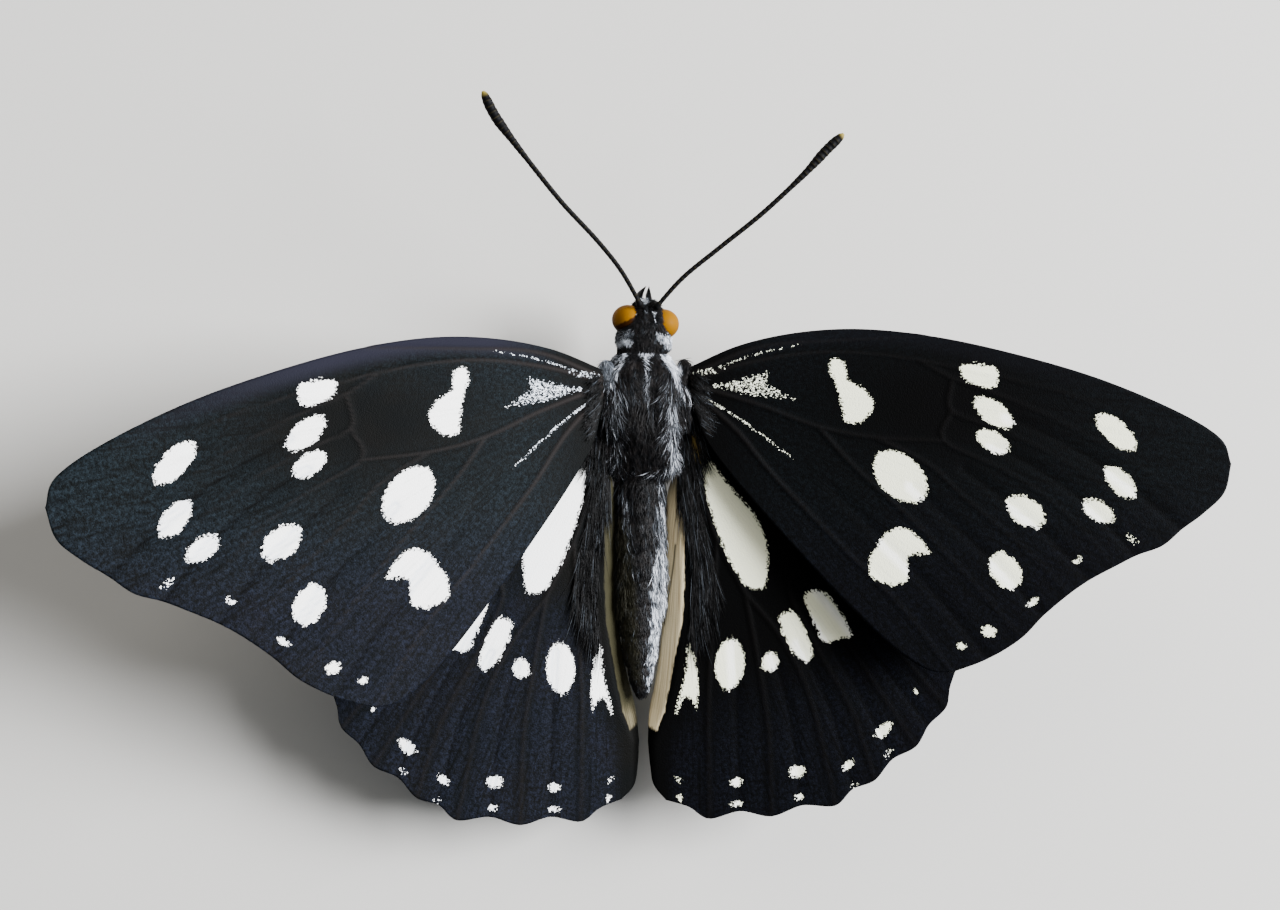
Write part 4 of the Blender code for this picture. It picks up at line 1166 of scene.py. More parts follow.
@dataclass(frozen=True)
class BodySkin:
    """One skin over abdomen, thorax, neck and head, inside the solids by the coat's depth.

    Each row is y, half width, middle height and half height; the head's rows turn with it.
    """

    sections: tuple = (
        (8.42, 0.03, -0.8, 0.03), (8.36, 0.42, -0.8, 0.55), (8.05, 0.82, -0.75, 1.0),
        (7.3, 1.12, -0.65, 1.36), (6.5, 1.42, -0.6, 1.45), (5.9, 1.75, -0.6, 1.42), (5.3, 1.86, -0.6, 1.34),
        (4.9, 1.66, -0.6, 1.2), (4.6, 1.6, -0.6, 1.15), (4.3, 1.85, -0.6, 1.3), (3.8, 2.2, -0.7, 1.75),
        (2.8, 2.45, -0.75, 2.18), (1.4, 2.5, -0.8, 2.38), (0.0, 2.45, -0.85, 2.38), (-1.4, 2.3, -0.95, 2.2),
        (-2.8, 1.98, -1.15, 1.85), (-3.7, 1.6, -1.4, 1.5), (-4.1, 1.48, -1.45, 1.4),
        (-5.2, 1.56, -1.5, 1.52), (-7.4, 1.6, -1.55, 1.64), (-9.8, 1.63, -1.6, 1.65),
        (-12.2, 1.63, -1.6, 1.6), (-14.5, 1.5, -1.55, 1.45), (-16.6, 1.22, -1.45, 1.2),
        (-18.5, 0.84, -1.35, 0.9), (-19.5, 0.56, -1.25, 0.6), (-19.95, 0.36, -1.2, 0.4),
        (-20.12, 0.02, -1.2, 0.03))
    rows: int = 300
    around: int = 96
    head_turn: float = -7.0
    neck: tuple[float, float] = (0.1, 4.7)
    waist_shift: float = -0.14
    tail_shift: float = -0.4
    tail_from: float = -4.0
    tail_length: float = 16.0
    ring_from: float = -4.6
    ring_step: float = 2.2
    ring_height: float = 0.07

    def turned(self, points: Array) -> Array:
        """Turn what lies ahead of the neck with the head, and lean the tail to its side."""
        x, y = self.neck
        part = smoothstep(y - 0.4, y + 0.4, points[..., 1])
        angle = np.radians(self.head_turn) * part
        dx, dy = points[..., 0], points[..., 1] - y
        ahead = np.stack([x * part + dx * np.cos(angle) - dy * np.sin(angle) * (dy > 0),
                          y + dy * np.cos(angle) + dx * np.sin(angle), points[..., 2]], axis=-1)
        behind = np.clip((self.tail_from - points[..., 1]) / self.tail_length, 0, 1)
        waist = smoothstep(-3, -5, points[..., 1])
        ahead[..., 0] += self.waist_shift * waist + (self.tail_shift - self.waist_shift) * behind
        return ahead

    def grid(self) -> Array:
        """Rows of oval rings from the face to the tail.

        Each ring is a superellipse whose squareness falls from the head's 2.7 to 2.1; the
        abdomen's rings rise towards the rear edge of each segment and step down behind it.
        """
        table = smooth_path(self.sections, 40 * len(self.sections))
        run = np.linspace(0, 1, self.rows)
        ease = run + 0.012 * np.sin(2 * math.pi * run)
        place = np.linspace(0, 1, len(table))
        y, width, middle, height = (np.interp(ease, place, column) for column in table.T)
        width, height = np.maximum(width, 0.01), np.maximum(height, 0.01)
        phase = np.mod((self.ring_from - y) / self.ring_step, 1)
        step = self.ring_height * smoothstep(0, 0.85, phase) * smoothstep(1, 0.93, phase)
        step *= (y < self.ring_from) * smoothstep(-20, -18.5, y)
        angle = np.linspace(0, 2 * math.pi, self.around, endpoint=False)
        power = (2 / (2.1 + 0.6 * smoothstep(4.5, 6.0, y)))[:, None]
        c, s = np.cos(angle)[None], np.sin(angle)[None]
        z = middle[:, None] + np.sign(s) * np.abs(s) ** power * (height + step)[:, None]
        x = np.sign(c) * self.hinged(np.abs(c) ** power * (width + step)[:, None], y[:, None], z)
        flat = np.stack([x, np.broadcast_to(y[:, None], x.shape), z], axis=-1)
        return self.turned(flat + self.relief(flat)[..., None] * [0, 0, 1])

    def hinged(self, x: Array, y: Array, z: Array) -> Array:
        """Half widths drawn out to the wings' roots in two soft shelves, the front one the higher."""
        fore = np.exp(-((y - 1.6) / 2.1) ** 4 - ((z - 0.9) / 0.45) ** 2)
        hind = np.exp(-((y + 1.9) / 1.4) ** 4 - ((z + 0.05) / 0.42) ** 2)
        return x + np.maximum(0, 2.8 - x) * fore + np.maximum(0, 2.5 - x) * hind

    def relief(self, points: Array) -> Array:
        """The thorax's middle groove and the low ridges at each side of the shield behind it."""
        x, y, z = points[..., 0], points[..., 1], points[..., 2]
        back = smoothstep(0.2, 1.0, z) * smoothstep(4.4, 3.6, y) * smoothstep(-3.6, -2.6, y)
        return back * (0.07 * bell(np.abs(x) - 1.1, 0.35) - 0.08 * bell(x, 0.18))

    def surface(self) -> tuple[Array, Array]:
        """The grid of points and the outward normals."""
        grid = self.grid()
        ring = np.concatenate([grid[:, -1:], grid, grid[:, :1]], axis=1)
        normals = grid_normals(ring)[:, 1:-1]
        outward = grid - grid.mean(axis=1, keepdims=True)
        normals *= np.sign(np.sum(normals * outward, axis=(1, 2)))[:, None, None]
        return grid, normals

    def build(self, marks: BodyMarks, material: Material) -> None:
        """Make the skin, closed at both ends by a fan on its smallest ring."""
        grid, normals = self.surface()
        points = np.vstack([grid.reshape(-1, 3), grid[[0, -1]].mean(axis=1)])
        column = np.arange(self.around)
        following = np.roll(column, -1)
        tail = (self.rows - 1) * self.around
        fans = [np.stack([following, column, np.full_like(column, len(points) - 2)], axis=1),
                np.stack([tail + column, tail + following, np.full_like(column, len(points) - 1)], axis=1)]
        triangles = np.vstack([split_quads(quad_grid(self.rows, self.around, wrap=True)), *fans])
        tones = marks.tones(points, np.vstack([normals.reshape(-1, 3), [[0, 1, 0], [0, -1, 0]]]))
        skin = Shape(points, facing_out(points, triangles), tones)
        make_piece("body_skin", skin, material, ("head", "thorax", "abdomen"))


# ---- coat ----------------------------------------------------------------------------------


@dataclass
class Roots:
    """Where hairs grow: places, normals and backward tangents, and their places on the unwrap."""

    points: Array
    normals: Array
    lie: Array
    unwrap: Array

    @classmethod
    def scattered(cls, grid: Array, normals: Array, density: Array, count: int, rng: np.random.Generator,
                  wrap: bool) -> "Roots":
        """Scatter roots over a grid, as many to each cell as its area times its density asks.

        Args:
            grid: rows by columns of points; the hair lies along growing rows.
            normals: the unit normals there.
            density: rows by columns of relative density.
            count: how many roots.
            rng: the seeded generator.
            wrap: whether the last column joins the first.

        Returns:
            The roots, each read between its cell's four corners.
        """
        if wrap:
            grid, normals = (np.concatenate([g, g[:, :1]], axis=1) for g in (grid, normals))
            density = np.concatenate([density, density[:, :1]], axis=1)
        down, across = grid[1:, :-1] - grid[:-1, :-1], grid[:-1, 1:] - grid[:-1, :-1]
        weight = np.linalg.norm(np.cross(down, across), axis=-1) * density[:-1, :-1]
        cell = rng.choice(weight.size, count, p=(weight / weight.sum()).ravel())
        row, column = np.unravel_index(cell, weight.shape)
        a, b = rng.random(count)[:, None], rng.random(count)[:, None]

        def between(field_: Array) -> Array:
            """Read a field between the corners of each chosen cell."""
            near = field_[row, column] * (1 - b) + field_[row, column + 1] * b
            far = field_[row + 1, column] * (1 - b) + field_[row + 1, column + 1] * b
            return near * (1 - a) + far * a

        normal = unit(between(normals))
        lie = along_skin(grid[row + 1, column] - grid[row, column], normal)
        rows, columns = weight.shape
        unwrap = np.concatenate([(column[:, None] + b) / columns, (row[:, None] + a) / rows], axis=1)
        return cls(between(grid), normal, lie, unwrap)


@dataclass
class Tufts:
    """Tapered hairs, each a closed three-sided sliver bent along the lie of the coat.

    A hair's middle line leaves its root at the lift angle and sinks back towards the skin
    with the square of its length, while a side bend draws it sideways.
    """

    roots: Roots
    length: Array
    lift: Array
    width: Array
    tones: dict[str, Array]
    sway: Array
    stations: tuple[float, ...] = (0.0, 0.35, 0.7)
    girth: tuple[float, ...] = (0.8, 1.0, 0.62)
    sink: float = 0.55
    root_depth: float = 0.02
    patch: float = 0.003

    def shape(self) -> Shape:
        """The hairs as one shape of triangles."""
        n, sides = len(self.length), 3
        side = np.cross(self.roots.lie, self.roots.normals)
        along = np.array((*self.stations, 1.0))
        reach = self.length[:, None] * along
        rise = np.sin(self.lift)[:, None] * reach * (1 - self.sink * along) - self.root_depth
        middle = (self.roots.points[:, None]
                  + self.roots.lie[:, None] * (reach * np.cos(self.lift)[:, None])[..., None]
                  + self.roots.normals[:, None] * rise[..., None]
                  + side[:, None] * (self.sway[:, None] * reach * along)[..., None])
        angle = (np.arange(sides) * 2 * math.pi / sides)[:, None]
        radius = self.width[:, None, None, None] * np.array(self.girth)[None, :, None, None]
        ring = side[:, None, None] * np.cos(angle) + self.roots.normals[:, None, None] * np.sin(angle)
        rings = middle[:, :-1, None] + ring * radius
        points = np.concatenate([rings.reshape(n, -1, 3), middle[:, -1:]], axis=1)
        one = []
        for row in range(len(self.stations) - 1):
            for k in range(sides):
                a, b = row * sides + k, row * sides + (k + 1) % sides
                one += [(a, b, b + sides), (a, b + sides, a + sides)]
        top = (len(self.stations) - 1) * sides
        one += [(top + k, top + (k + 1) % sides, top + sides) for k in range(sides)] + [(0, 2, 1)]
        per = points.shape[1]
        faces = (np.array(one)[None] + per * np.arange(n)[:, None, None]).reshape(-1, 3)
        station = np.append(np.repeat(self.stations, sides), 1.0)
        turn = np.append(np.tile(np.arange(sides) / sides, len(self.stations)), 0.5)
        spot = self.roots.unwrap[:, None] + self.patch * np.stack([turn - 0.5, station - 0.5], axis=1)
        values = {key: np.repeat(tone, per) for key, tone in self.tones.items()}
        values["tip"] = np.tile(station, n)
        return Shape(points.reshape(-1, 3), faces, values, {"OFBake": spot.reshape(-1, 2)})


@dataclass(frozen=True)
class CoatField:
    """One region of the coat: its share of the body by y, and how its hairs stand.

    Attributes:
        name: the piece's name after "coat_".
        front: where it starts, by y.
        rear: where it ends.
        count: how many hairs.
        length: their least and greatest length.
        lift: their least and greatest angle with the skin, in degrees.
        width: a hair's half width.
        spread: how far they stray sideways, by the tangent.
        jitter: how far the marks on them are blurred.
        outward: how far they point away from the middle, in degrees.
        sides: the steepness of the skin at which the region starts and is full, or none.
        soft: how gradually it starts and ends along y.
        strand: the size of the locks that share a shade, along x, y and z.
        path: x, y and share of pale hairs of a line that the region keeps to from above, or none.
        reach: how far from that line it thins out.
        fan: how far the hairs at its reach point away from the line, in degrees.
        mirrored: whether the line stands on both sides.
        guard: the share of stouter hairs, and their length and width over the others'.
    """

    name: str
    front: float
    rear: float
    count: int
    length: tuple[float, float]
    lift: tuple[float, float]
    width: float = 0.028
    spread: float = 0.25
    jitter: float = 0.12
    outward: float = 0.0
    sides: tuple[float, float] | None = None
    soft: float = 0.15
    strand: tuple[float, float, float] = (0.16, 1.1, 0.16)
    path: tuple[tuple[float, float, float], ...] = ()
    reach: float = 0.4
    fan: float = 0.0
    mirrored: bool = False
    guard: tuple[float, float, float] = (0.08, 1.2, 1.5)

    def density(self, grid: Array, normals: Array) -> Array:
        """How thickly the hairs stand at each point of the skin."""
        y = grid[..., 1]
        share = smoothstep(self.rear - self.soft, self.rear + self.soft, y)
        share = share * smoothstep(self.front + self.soft, self.front - self.soft, y)
        if self.sides:
            steep, upper = np.abs(normals[..., 0]), normals[..., 2]
            share = share * smoothstep(*self.sides, steep) * smoothstep(-0.5, -0.1, upper)
        if self.path:
            x = np.abs(grid[..., 0]) if self.mirrored else grid[..., 0]
            plan = np.stack([x, y], axis=-1).reshape(-1, 2)
            away = path_distance(plan, smooth_path(np.array(self.path)[:, :2], 24)).reshape(y.shape)
            share = share * bell(away, self.reach) * smoothstep(0.0, 0.3, normals[..., 2])
        return share

    def path_at(self, points: Array) -> tuple[Array, Array]:
        """How far right of the line each root lies, over its reach, and the share of pale hairs."""
        line = np.array(self.path)[::-1]
        at = [np.interp(points[:, 1], line[:, 1], line[:, k]) for k in (0, 2)]
        middle = at[0] * np.sign(points[:, 0]) if self.mirrored else at[0]
        return np.clip((points[:, 0] - middle) / self.reach, -1.5, 1.5), at[1]

    def tones(self, marks: BodyMarks, roots: Roots, length: Array,
              rng: np.random.Generator) -> dict[str, Array]:
        """How pale, olive and shaded each hair is: locks share a shade, and a few dark ones are painted
        grey as glints.
        """
        seen = roots.points + roots.lie * 0.5 * length[:, None]
        tones = marks.tones(seen + rng.normal(0, self.jitter, seen.shape) * [1, 1, 0], roots.normals)
        lock = soft_noise(seen / self.strand, 7)
        dice = rng.random(self.count)
        if self.path:
            off, share = self.path_at(roots.points)
            light = 0.25 + 0.6 * share + 0.3 * lock
            tones["pale"] = np.where(dice < share * (1 - 0.3 * off ** 2), light, 0.06)
        else:
            share = tones["pale"]
            # a few dark hairs painted grey as glints of light
            grey_and_glint = 0.28 * smoothstep(0.6, 0.85, soft_noise(seen / self.strand, 8)) * (dice < 0.45)
            pale = np.where(dice < 0.06 + share, np.sqrt(share), 0.2 * share) * (0.4 + 1.05 * lock)
            tones["pale"] = np.maximum(pale, grey_and_glint)
        tones["pale"] = np.clip(tones["pale"], 0, 1)
        tones["shade"] = 0.3 * rng.random(self.count) + 0.7 * (1 - lock)
        return tones

    def build(self, skin: BodySkin, marks: BodyMarks, material: Material, seed: int) -> None:
        """Grow the hairs of this region on the skin.

        Each hair turns aside by a random amount plus a share that neighbours have in common:
        the product of two sines of its place, which gathers them in clumps.
        """
        rng = np.random.default_rng(seed)
        grid, normals = skin.surface()
        roots = Roots.scattered(grid, normals, self.density(grid, normals), self.count, rng, wrap=True)
        share, longer, stouter = self.guard
        guard = rng.random(self.count) < share
        length = rng.uniform(*self.length, self.count) * np.where(guard, longer, 1.0)
        width = self.width * rng.uniform(0.7, 1.2, self.count) * np.where(guard, stouter, 1.0)
        across = np.cross(roots.normals, roots.lie)
        away = np.sign(np.sum(across * (roots.normals * [1, 0, 0]), axis=1))
        x, y, z = roots.points.T
        clump = np.sin(5.3 * x + 2.1 * y + 3.3 * z) * np.sin(3.1 * y - 4.7 * x + 1.9 * z)
        aim = self.spread * (rng.normal(0, 0.7, self.count) + 0.8 * clump)
        aim += math.tan(math.radians(self.outward)) * away
        if self.fan:
            off = self.path_at(roots.points)[0]
            aim += math.tan(math.radians(self.fan)) * off * np.sign(across[:, 0])
        roots.lie = unit(roots.lie + across * aim[:, None])
        tones = self.tones(marks, roots, length, rng)
        tufts = Tufts(roots, length, np.radians(rng.uniform(*self.lift, self.count)), width, tones,
                      rng.normal(0, 0.15, self.count))
        make_piece(f"coat_{self.name}", tufts.shape(), material)


COAT = (
    CoatField("head", 8.5, 5.2, 9000, (0.3, 0.6), (25, 75), 0.022, 0.5, 0.03, strand=(0.14, 0.3, 0.14)),
    CoatField("eye_rims", 7.8, 5.9, 2600, (0.4, 0.75), (10, 40), 0.024, 0.4, 0.04, 45.0, (0.2, 0.5)),
    CoatField("eye_cover", 7.3, 5.9, 700, (0.4, 0.75), (25, 45), 0.022, 0.3, 0.0, 68.0,
              path=((-0.5, 7.1, 0.0), (-0.55, 6.85, 0.0), (-0.7, 6.6, 0.0), (-1.0, 6.35, 0.0),
                    (-1.4, 6.15, 0.0)), reach=0.14),
    CoatField("collar", 5.3, 4.0, 5600, (0.3, 0.65), (20, 65), 0.022, 0.4, 0.03, strand=(0.14, 0.3, 0.14)),
    CoatField("thorax_front", 4.3, 0.6, 10600, (0.45, 0.95), (5, 24), 0.02, 0.07, 0.02, soft=0.3),
    CoatField("thorax_rear", 0.9, -4.3, 9600, (1.0, 2.4), (5, 26), 0.02, 0.26, 0.06, soft=0.5),
    CoatField("plume_right", 3.1, -3.9, 2600, (1.0, 2.1), (10, 32), 0.021, 0.12, fan=12.0, reach=0.19,
              path=((1.68, 3.1, 0.06), (1.72, 2.1, 0.3), (1.78, 0.9, 0.46), (1.85, -0.2, 0.62),
                    (1.88, -1.4, 0.72), (1.8, -2.5, 0.72), (1.45, -3.7, 0.72))),
    # the left plume has fewer and greyer pale hairs, as painted shade on the side turned from the light
    CoatField("plume_left", 2.2, -4.0, 1900, (0.9, 1.8), (10, 30), 0.02, 0.14, fan=12.0, reach=0.28,
              path=((-2.15, 2.3, 0.2), (-2.15, 0.8, 0.36), (-2.1, -0.4, 0.42), (-2.0, -1.7, 0.4),
                    (-1.85, -3.0, 0.36), (-1.6, -3.9, 0.3))),
    CoatField("hinges", 2.9, -0.9, 1800, (0.7, 1.35), (0, 16), 0.024, 0.3, 0.0, 58.0, mirrored=True,
              reach=0.22,
              path=((2.7, 3.0, 0.05), (2.7, 2.2, 0.06), (2.7, 1.2, 0.08), (2.65, 0.2, 0.08),
                    (2.4, -0.8, 0.08))),
    CoatField("flanks", 2.6, -4.2, 4700, (1.3, 2.6), (10, 34), 0.022, 0.3, 0.1, 12.0, (0.45, 0.8)),
    CoatField("abdomen_front", -3.6, -11.0, 9700, (0.7, 1.4), (3, 14), 0.02, 0.15, 0.05, soft=0.4),
    CoatField("abdomen_rear", -10.6, -20.05, 9500, (0.25, 0.6), (5, 22), 0.024, 0.22, 0.05, soft=0.4,
              strand=(0.12, 0.3, 0.12)),
    CoatField("abdomen_fringe", -3.9, -13.5, 3600, (0.8, 1.7), (14, 34), 0.022, 0.2, 0.06, 0.0,
              (0.55, 0.85)),
)


@dataclass(frozen=True)
class WingHair:
    """Long soft hairs on the inner part of a wing's upper face.

    Attributes:
        name: the piece's name before its side.
        region: the outline on the plan in which they are rooted.
        count: how many.
        length: the least and greatest length.
        fan: how far the hairs turn outward from straight back, in degrees, per mm of u.
        light: the share of pale hairs.
        warm: the x and y of the yellowish tuft on the right.
    """

    name: str
    region: tuple[tuple[float, float], ...]
    count: int
    length: tuple[float, float]
    fan: float = 2.5
    light: float = 0.12
    warm: tuple[float, float] = (3.45, -0.9)
    lift: tuple[float, float] = (2.0, 9.0)
    width: float = 0.024

    def build(self, wing: Wing, side: Side, material: Material, seed: int) -> None:
        """Grow the hairs on one wing."""
        rng = np.random.default_rng(seed)
        plan = wing.plan(side)
        flat = plan.reshape(-1, 2)
        inside = depth_inside(flat, np.array(self.region)).reshape(plan.shape[:2])
        grid = wing.posed(wing.middle(flat, side), side).reshape(*plan.shape[:2], 3)
        normals = grid_normals(grid)
        normals *= np.sign(normals[..., 2].mean())
        roots = Roots.scattered(grid, normals, smoothstep(-0.1, 0.3, inside), self.count, rng, wrap=False)
        roots.points = roots.points + roots.normals * wing.thickness / 2
        outward = np.radians(self.fan * np.abs(roots.points[:, 0]) + rng.normal(0, 5, self.count))
        lie = np.stack([np.sin(outward) * side.value, -np.cos(outward), np.zeros(self.count)], axis=1)
        roots.lie = along_skin(lie, roots.normals)
        light = rng.random(self.count) < self.light
        away = np.linalg.norm(roots.points[:, :2] - np.array(self.warm) * [side.value, 1], axis=1)
        tones = {"pale": np.where(light, rng.uniform(0.2, 0.45, self.count), 0.0),
                 "olive": smoothstep(0.4, 0.25, away) * (side is Side.right),
                 "shade": rng.random(self.count)}
        width = self.width * np.where(light, 0.7, rng.uniform(0.7, 1.1, self.count))
        length = rng.uniform(*self.length, self.count)
        lift = np.radians(rng.uniform(*self.lift, self.count))
        tufts = Tufts(roots, length, lift, width, tones, rng.normal(0, 0.06, self.count))
        make_piece(f"coat_{self.name}_{side.name}", tufts.shape(), material)


WING_HAIR = {
    "hindwing": (
        WingHair("hindwing_inner",
                 ((2.2, 4.3), (3.0, 2.6), (3.8, 4.0), (4.3, 7.5), (5.1, 11.0), (4.8, 12.6), (3.5, 14.6),
                  (3.0, 15.2), (2.9, 15.2), (3.3, 14.0), (3.35, 9.0), (2.8, 6.2)), 2400, (1.2, 4.4), 1.4,
                 0.1),
        WingHair("hindwing_root",
                 ((2.7, -0.6), (4.0, -0.8), (4.4, 2.0), (3.7, 4.2), (3.2, 5.6), (3.0, 4.6), (2.6, 4.2)),
                 1500, (1.3, 2.6), 3.0),
    ),
    "forewing": (
        WingHair("forewing_root", ((3.2, -3.3), (3.9, -2.9), (4.3, 0.0), (4.0, 1.2), (3.2, -0.8)), 1200,
                 (0.6, 1.2), 14.0, 0.06),
    ),
}


# ---- head parts and legs -------------------------------------------------------------------


def in_head(points: Array, skin: BodySkin) -> Array:
    """Points drawn ahead of an unturned neck, turned with the head."""
    x, y = skin.neck
    return (points - [0, y, 0]) @ turn_about("Z", skin.head_turn).T + [x, y, 0]


@dataclass(frozen=True)
class Eye:
    """A domed compound eye, an ellipsoid sunk in the side of the head."""

    middle: tuple[float, float, float] = (1.3, 6.87, -0.6)
    radii: tuple[float, float, float] = (1.14, 1.07, 1.28)
    rows: int = 64
    around: int = 96
    # the left eye, turned from the light, gets more painted shade
    shade: dict = field(default_factory=lambda: {Side.left: 0.35, Side.right: 0.2})
    rear_shade: dict = field(default_factory=lambda: {Side.left: 1.0, Side.right: 0.1})

    def build(self, skin: BodySkin, material: Material) -> None:
        """Make both eyes, each painted darker as shade towards its outer side, and darker still behind a
        slanting line over it.
        """
        ball = unit_ball(self.rows, self.around, 0.001).reshape(-1, 3)
        quads = quad_grid(self.rows, self.around, wrap=True)
        for side in Side:
            points = ball * self.radii + np.array(self.middle) * [side.value, 1, 1]
            outer = ball[:, 0] * side.value
            low = outer * 0.6 - ball[:, 1] * 0.6 - ball[:, 2] * 0.4
            shade = self.shade[side] + 0.35 * smoothstep(-0.1, 0.9, low)
            fringe = 0.12 * (soft_noise(points / [0.1, 0.25, 0.25], 11) - 0.5)
            line = -0.62 * outer - 0.785 * ball[:, 1] + fringe
            shade += self.rear_shade[side] * smoothstep(-0.1, 0.1, line)
            triangles = facing_out(points, split_quads(quads))
            node = f"eye_{side.name}"
            dome = Shape(in_head(points, skin), triangles, {"shade": shade})
            make_piece(f"{node}_dome", dome, material, (node,))


@dataclass(frozen=True)
class Tegula:
    """The small furred dome over each forewing's root."""

    middle: tuple[float, float, float] = (2.85, 3.0, 0.7)
    radii: tuple[float, float, float] = (0.52, 1.1, 0.42)
    rows: int = 32
    around: int = 40
    hairs: int = 700

    def build(self, marks: BodyMarks, material: Material) -> None:
        """Make both domes, each an ellipsoid whose hairs lie backwards."""
        ball = unit_ball(self.rows, self.around, 0.02)[..., [0, 2, 1]]
        triangles = split_quads(quad_grid(self.rows, self.around, wrap=True))
        normals = unit(ball / self.radii)
        for side in Side:
            rng = np.random.default_rng(40 + side.value)
            grid = ball * self.radii + np.array(self.middle) * [side.value, 1, 1]
            points = grid.reshape(-1, 3)
            dome = Shape(points, facing_out(points, triangles), marks.tones(points, normals.reshape(-1, 3)))
            make_piece(f"tegula_{side.name}_dome", dome, material)
            density = smoothstep(-0.3, 0.2, normals[..., 2])
            roots = Roots.scattered(grid, normals, density, self.hairs, rng, wrap=True)
            tones = marks.tones(roots.points, roots.normals)
            tones["pale"] *= rng.uniform(0.4, 1.2, self.hairs)
            tones["shade"] = rng.random(self.hairs)
            length = rng.uniform(0.35, 0.75, self.hairs)
            lift = np.radians(rng.uniform(5, 35, self.hairs))
            tufts = Tufts(roots, length, lift, np.full(self.hairs, 0.022), tones,
                          rng.normal(0, 0.15, self.hairs))
            make_piece(f"coat_tegula_{side.name}", tufts.shape(), material)


@dataclass(frozen=True)
class Antennae:
    """Two ringed feelers that swell into long clubs with pale tips."""

    lines: dict = field(default_factory=lambda: {
        Side.left: ((-0.32, 7.95, 0.6), (-0.45, 8.3, 0.85), (-1.8, 10.4, 1.5), (-3.55, 12.4, 2.1),
                    (-6.0, 14.8, 2.9), (-8.0, 17.05, 3.6), (-10.2, 19.7, 4.3), (-11.0, 20.85, 4.55),
                    (-11.62, 22.15, 4.7)),
        Side.right: ((0.98, 7.75, 0.6), (1.15, 8.1, 0.9), (2.8, 9.9, 1.5), (5.3, 11.9, 2.2),
                     (8.2, 14.2, 3.1), (10.9, 16.7, 4.0), (12.6, 18.5, 4.4), (13.8, 19.6, 4.7))})
    shaft: float = 0.185
    club: float = 0.35
    tip: float = 0.1
    shaft_profile: tuple = ((0, 1.2), (0.012, 1.4), (0.03, 0.85), (0.1, 0.9), (0.7, 1.0))
    club_profile: tuple = ((0.8, 0.72), (0.87, 1.0), (0.95, 1.0), (0.975, 0.86), (0.99, 0.62))
    segments: int = 46
    bead: float = 0.035
    points: int = 460
    sides: int = 18

    def build(self, material: Material) -> None:
        """Make both feelers: each segment swells a little towards its far end."""
        profile = [(at, share * self.shaft) for at, share in self.shaft_profile]
        profile += [(at, share * self.club) for at, share in self.club_profile] + [(1.0, self.tip)]
        along = np.linspace(0, 1, self.points)
        radius = np.interp(along, *np.array(profile).T)
        radius = radius * (1 + self.bead * np.sin(2 * math.pi * self.segments * along))
        for side, line in self.lines.items():
            shape = tube(smooth_path(line, self.points), radius, self.sides)
            make_piece(f"antenna_{side.name}_shaft", shape, material, (f"antenna_{side.name}",))


@dataclass(frozen=True)
class Mouthparts:
    """The two upturned palps, black outside and white between, and the coiled proboscis."""

    palp: tuple = ((0.38, 8.0, -2.0), (0.38, 8.35, -2.05), (0.35, 8.7, -1.7), (0.29, 8.95, -1.1),
                   (0.2, 9.15, -0.5), (0.11, 9.35, 0.0))
    palp_radius: tuple = (0.18, 0.22, 0.22, 0.16, 0.1, 0.02)
    palp_lean: float = -0.22
    coil_middle: tuple[float, float, float] = (0.0, 7.6, -3.6)
    coil_radii: tuple[float, float] = (0.2, 1.15)
    coil_turns: float = 2.6
    coil_tightening: float = 0.9
    tube_radius: float = 0.175

    def build(self, skin: BodySkin, palp: Material, coil: Material) -> None:
        """Make the palps and the proboscis."""
        for side in Side:
            make_piece(f"palp_{side.name}_scales", self.palp_shape(side, skin), palp,
                       (f"palp_{side.name}",))
        make_piece("proboscis_coil", self.coil_shape(skin), coil, ("proboscis",))

    def palp_shape(self, side: Side, skin: BodySkin, count: int = 60) -> Shape:
        """One palp, leaning with the other to the head's side, pale on its inner face."""
        path = smooth_path(self.palp, count)
        place = np.linspace(0, 1, count), np.linspace(0, 1, len(self.palp_radius))
        shape = tube(path, np.interp(*place, self.palp_radius), 24, 1.15)
        shape.points = shape.points * [side.value, 1, 1]
        if side is Side.left:
            shape.faces = shape.faces[:, ::-1]
        middle = np.interp(shape.points[:, 1], path[:, 1], path[:, 0])
        inner = smoothstep(0.08, 0.18, middle - np.abs(shape.points[:, 0]))
        shape.values["pale"] = inner * smoothstep(8.8, 8.6, shape.points[:, 1])
        shape.values["olive"] = np.zeros(len(shape.points))
        shape.points[:, 0] += self.palp_lean * smoothstep(8.3, 9.3, shape.points[:, 1])
        shape.points = in_head(shape.points, skin)
        return shape

    def coil_shape(self, skin: BodySkin) -> Shape:
        """The proboscis: a short stem from the head, then a spiral.

        The spiral's radius falls from the outer to the inner one with a power of its turn.
        """
        turn = np.linspace(0, 2 * math.pi * self.coil_turns, 260)
        inner, outer = self.coil_radii
        radius = outer + (inner - outer) * np.linspace(0, 1, len(turn)) ** self.coil_tightening
        x, y, z = self.coil_middle
        ring = np.stack([0 * turn, np.sin(turn), np.cos(turn)], axis=1)
        path = np.array([x, y, z]) + radius[:, None] * ring
        stem = smooth_path(((x, y - 0.8, z + outer + 0.45), (x, y - 0.4, z + outer + 0.1), path[0]), 16)
        path = np.vstack([stem[:-1], path])
        taper = np.interp(np.linspace(0, 1, len(path)), (0, 0.1, 1), (1.1, 1, 0.7))
        shape = tube(path, self.tube_radius * taper, 14)
        shape.points = in_head(shape.points, skin)
        return shape


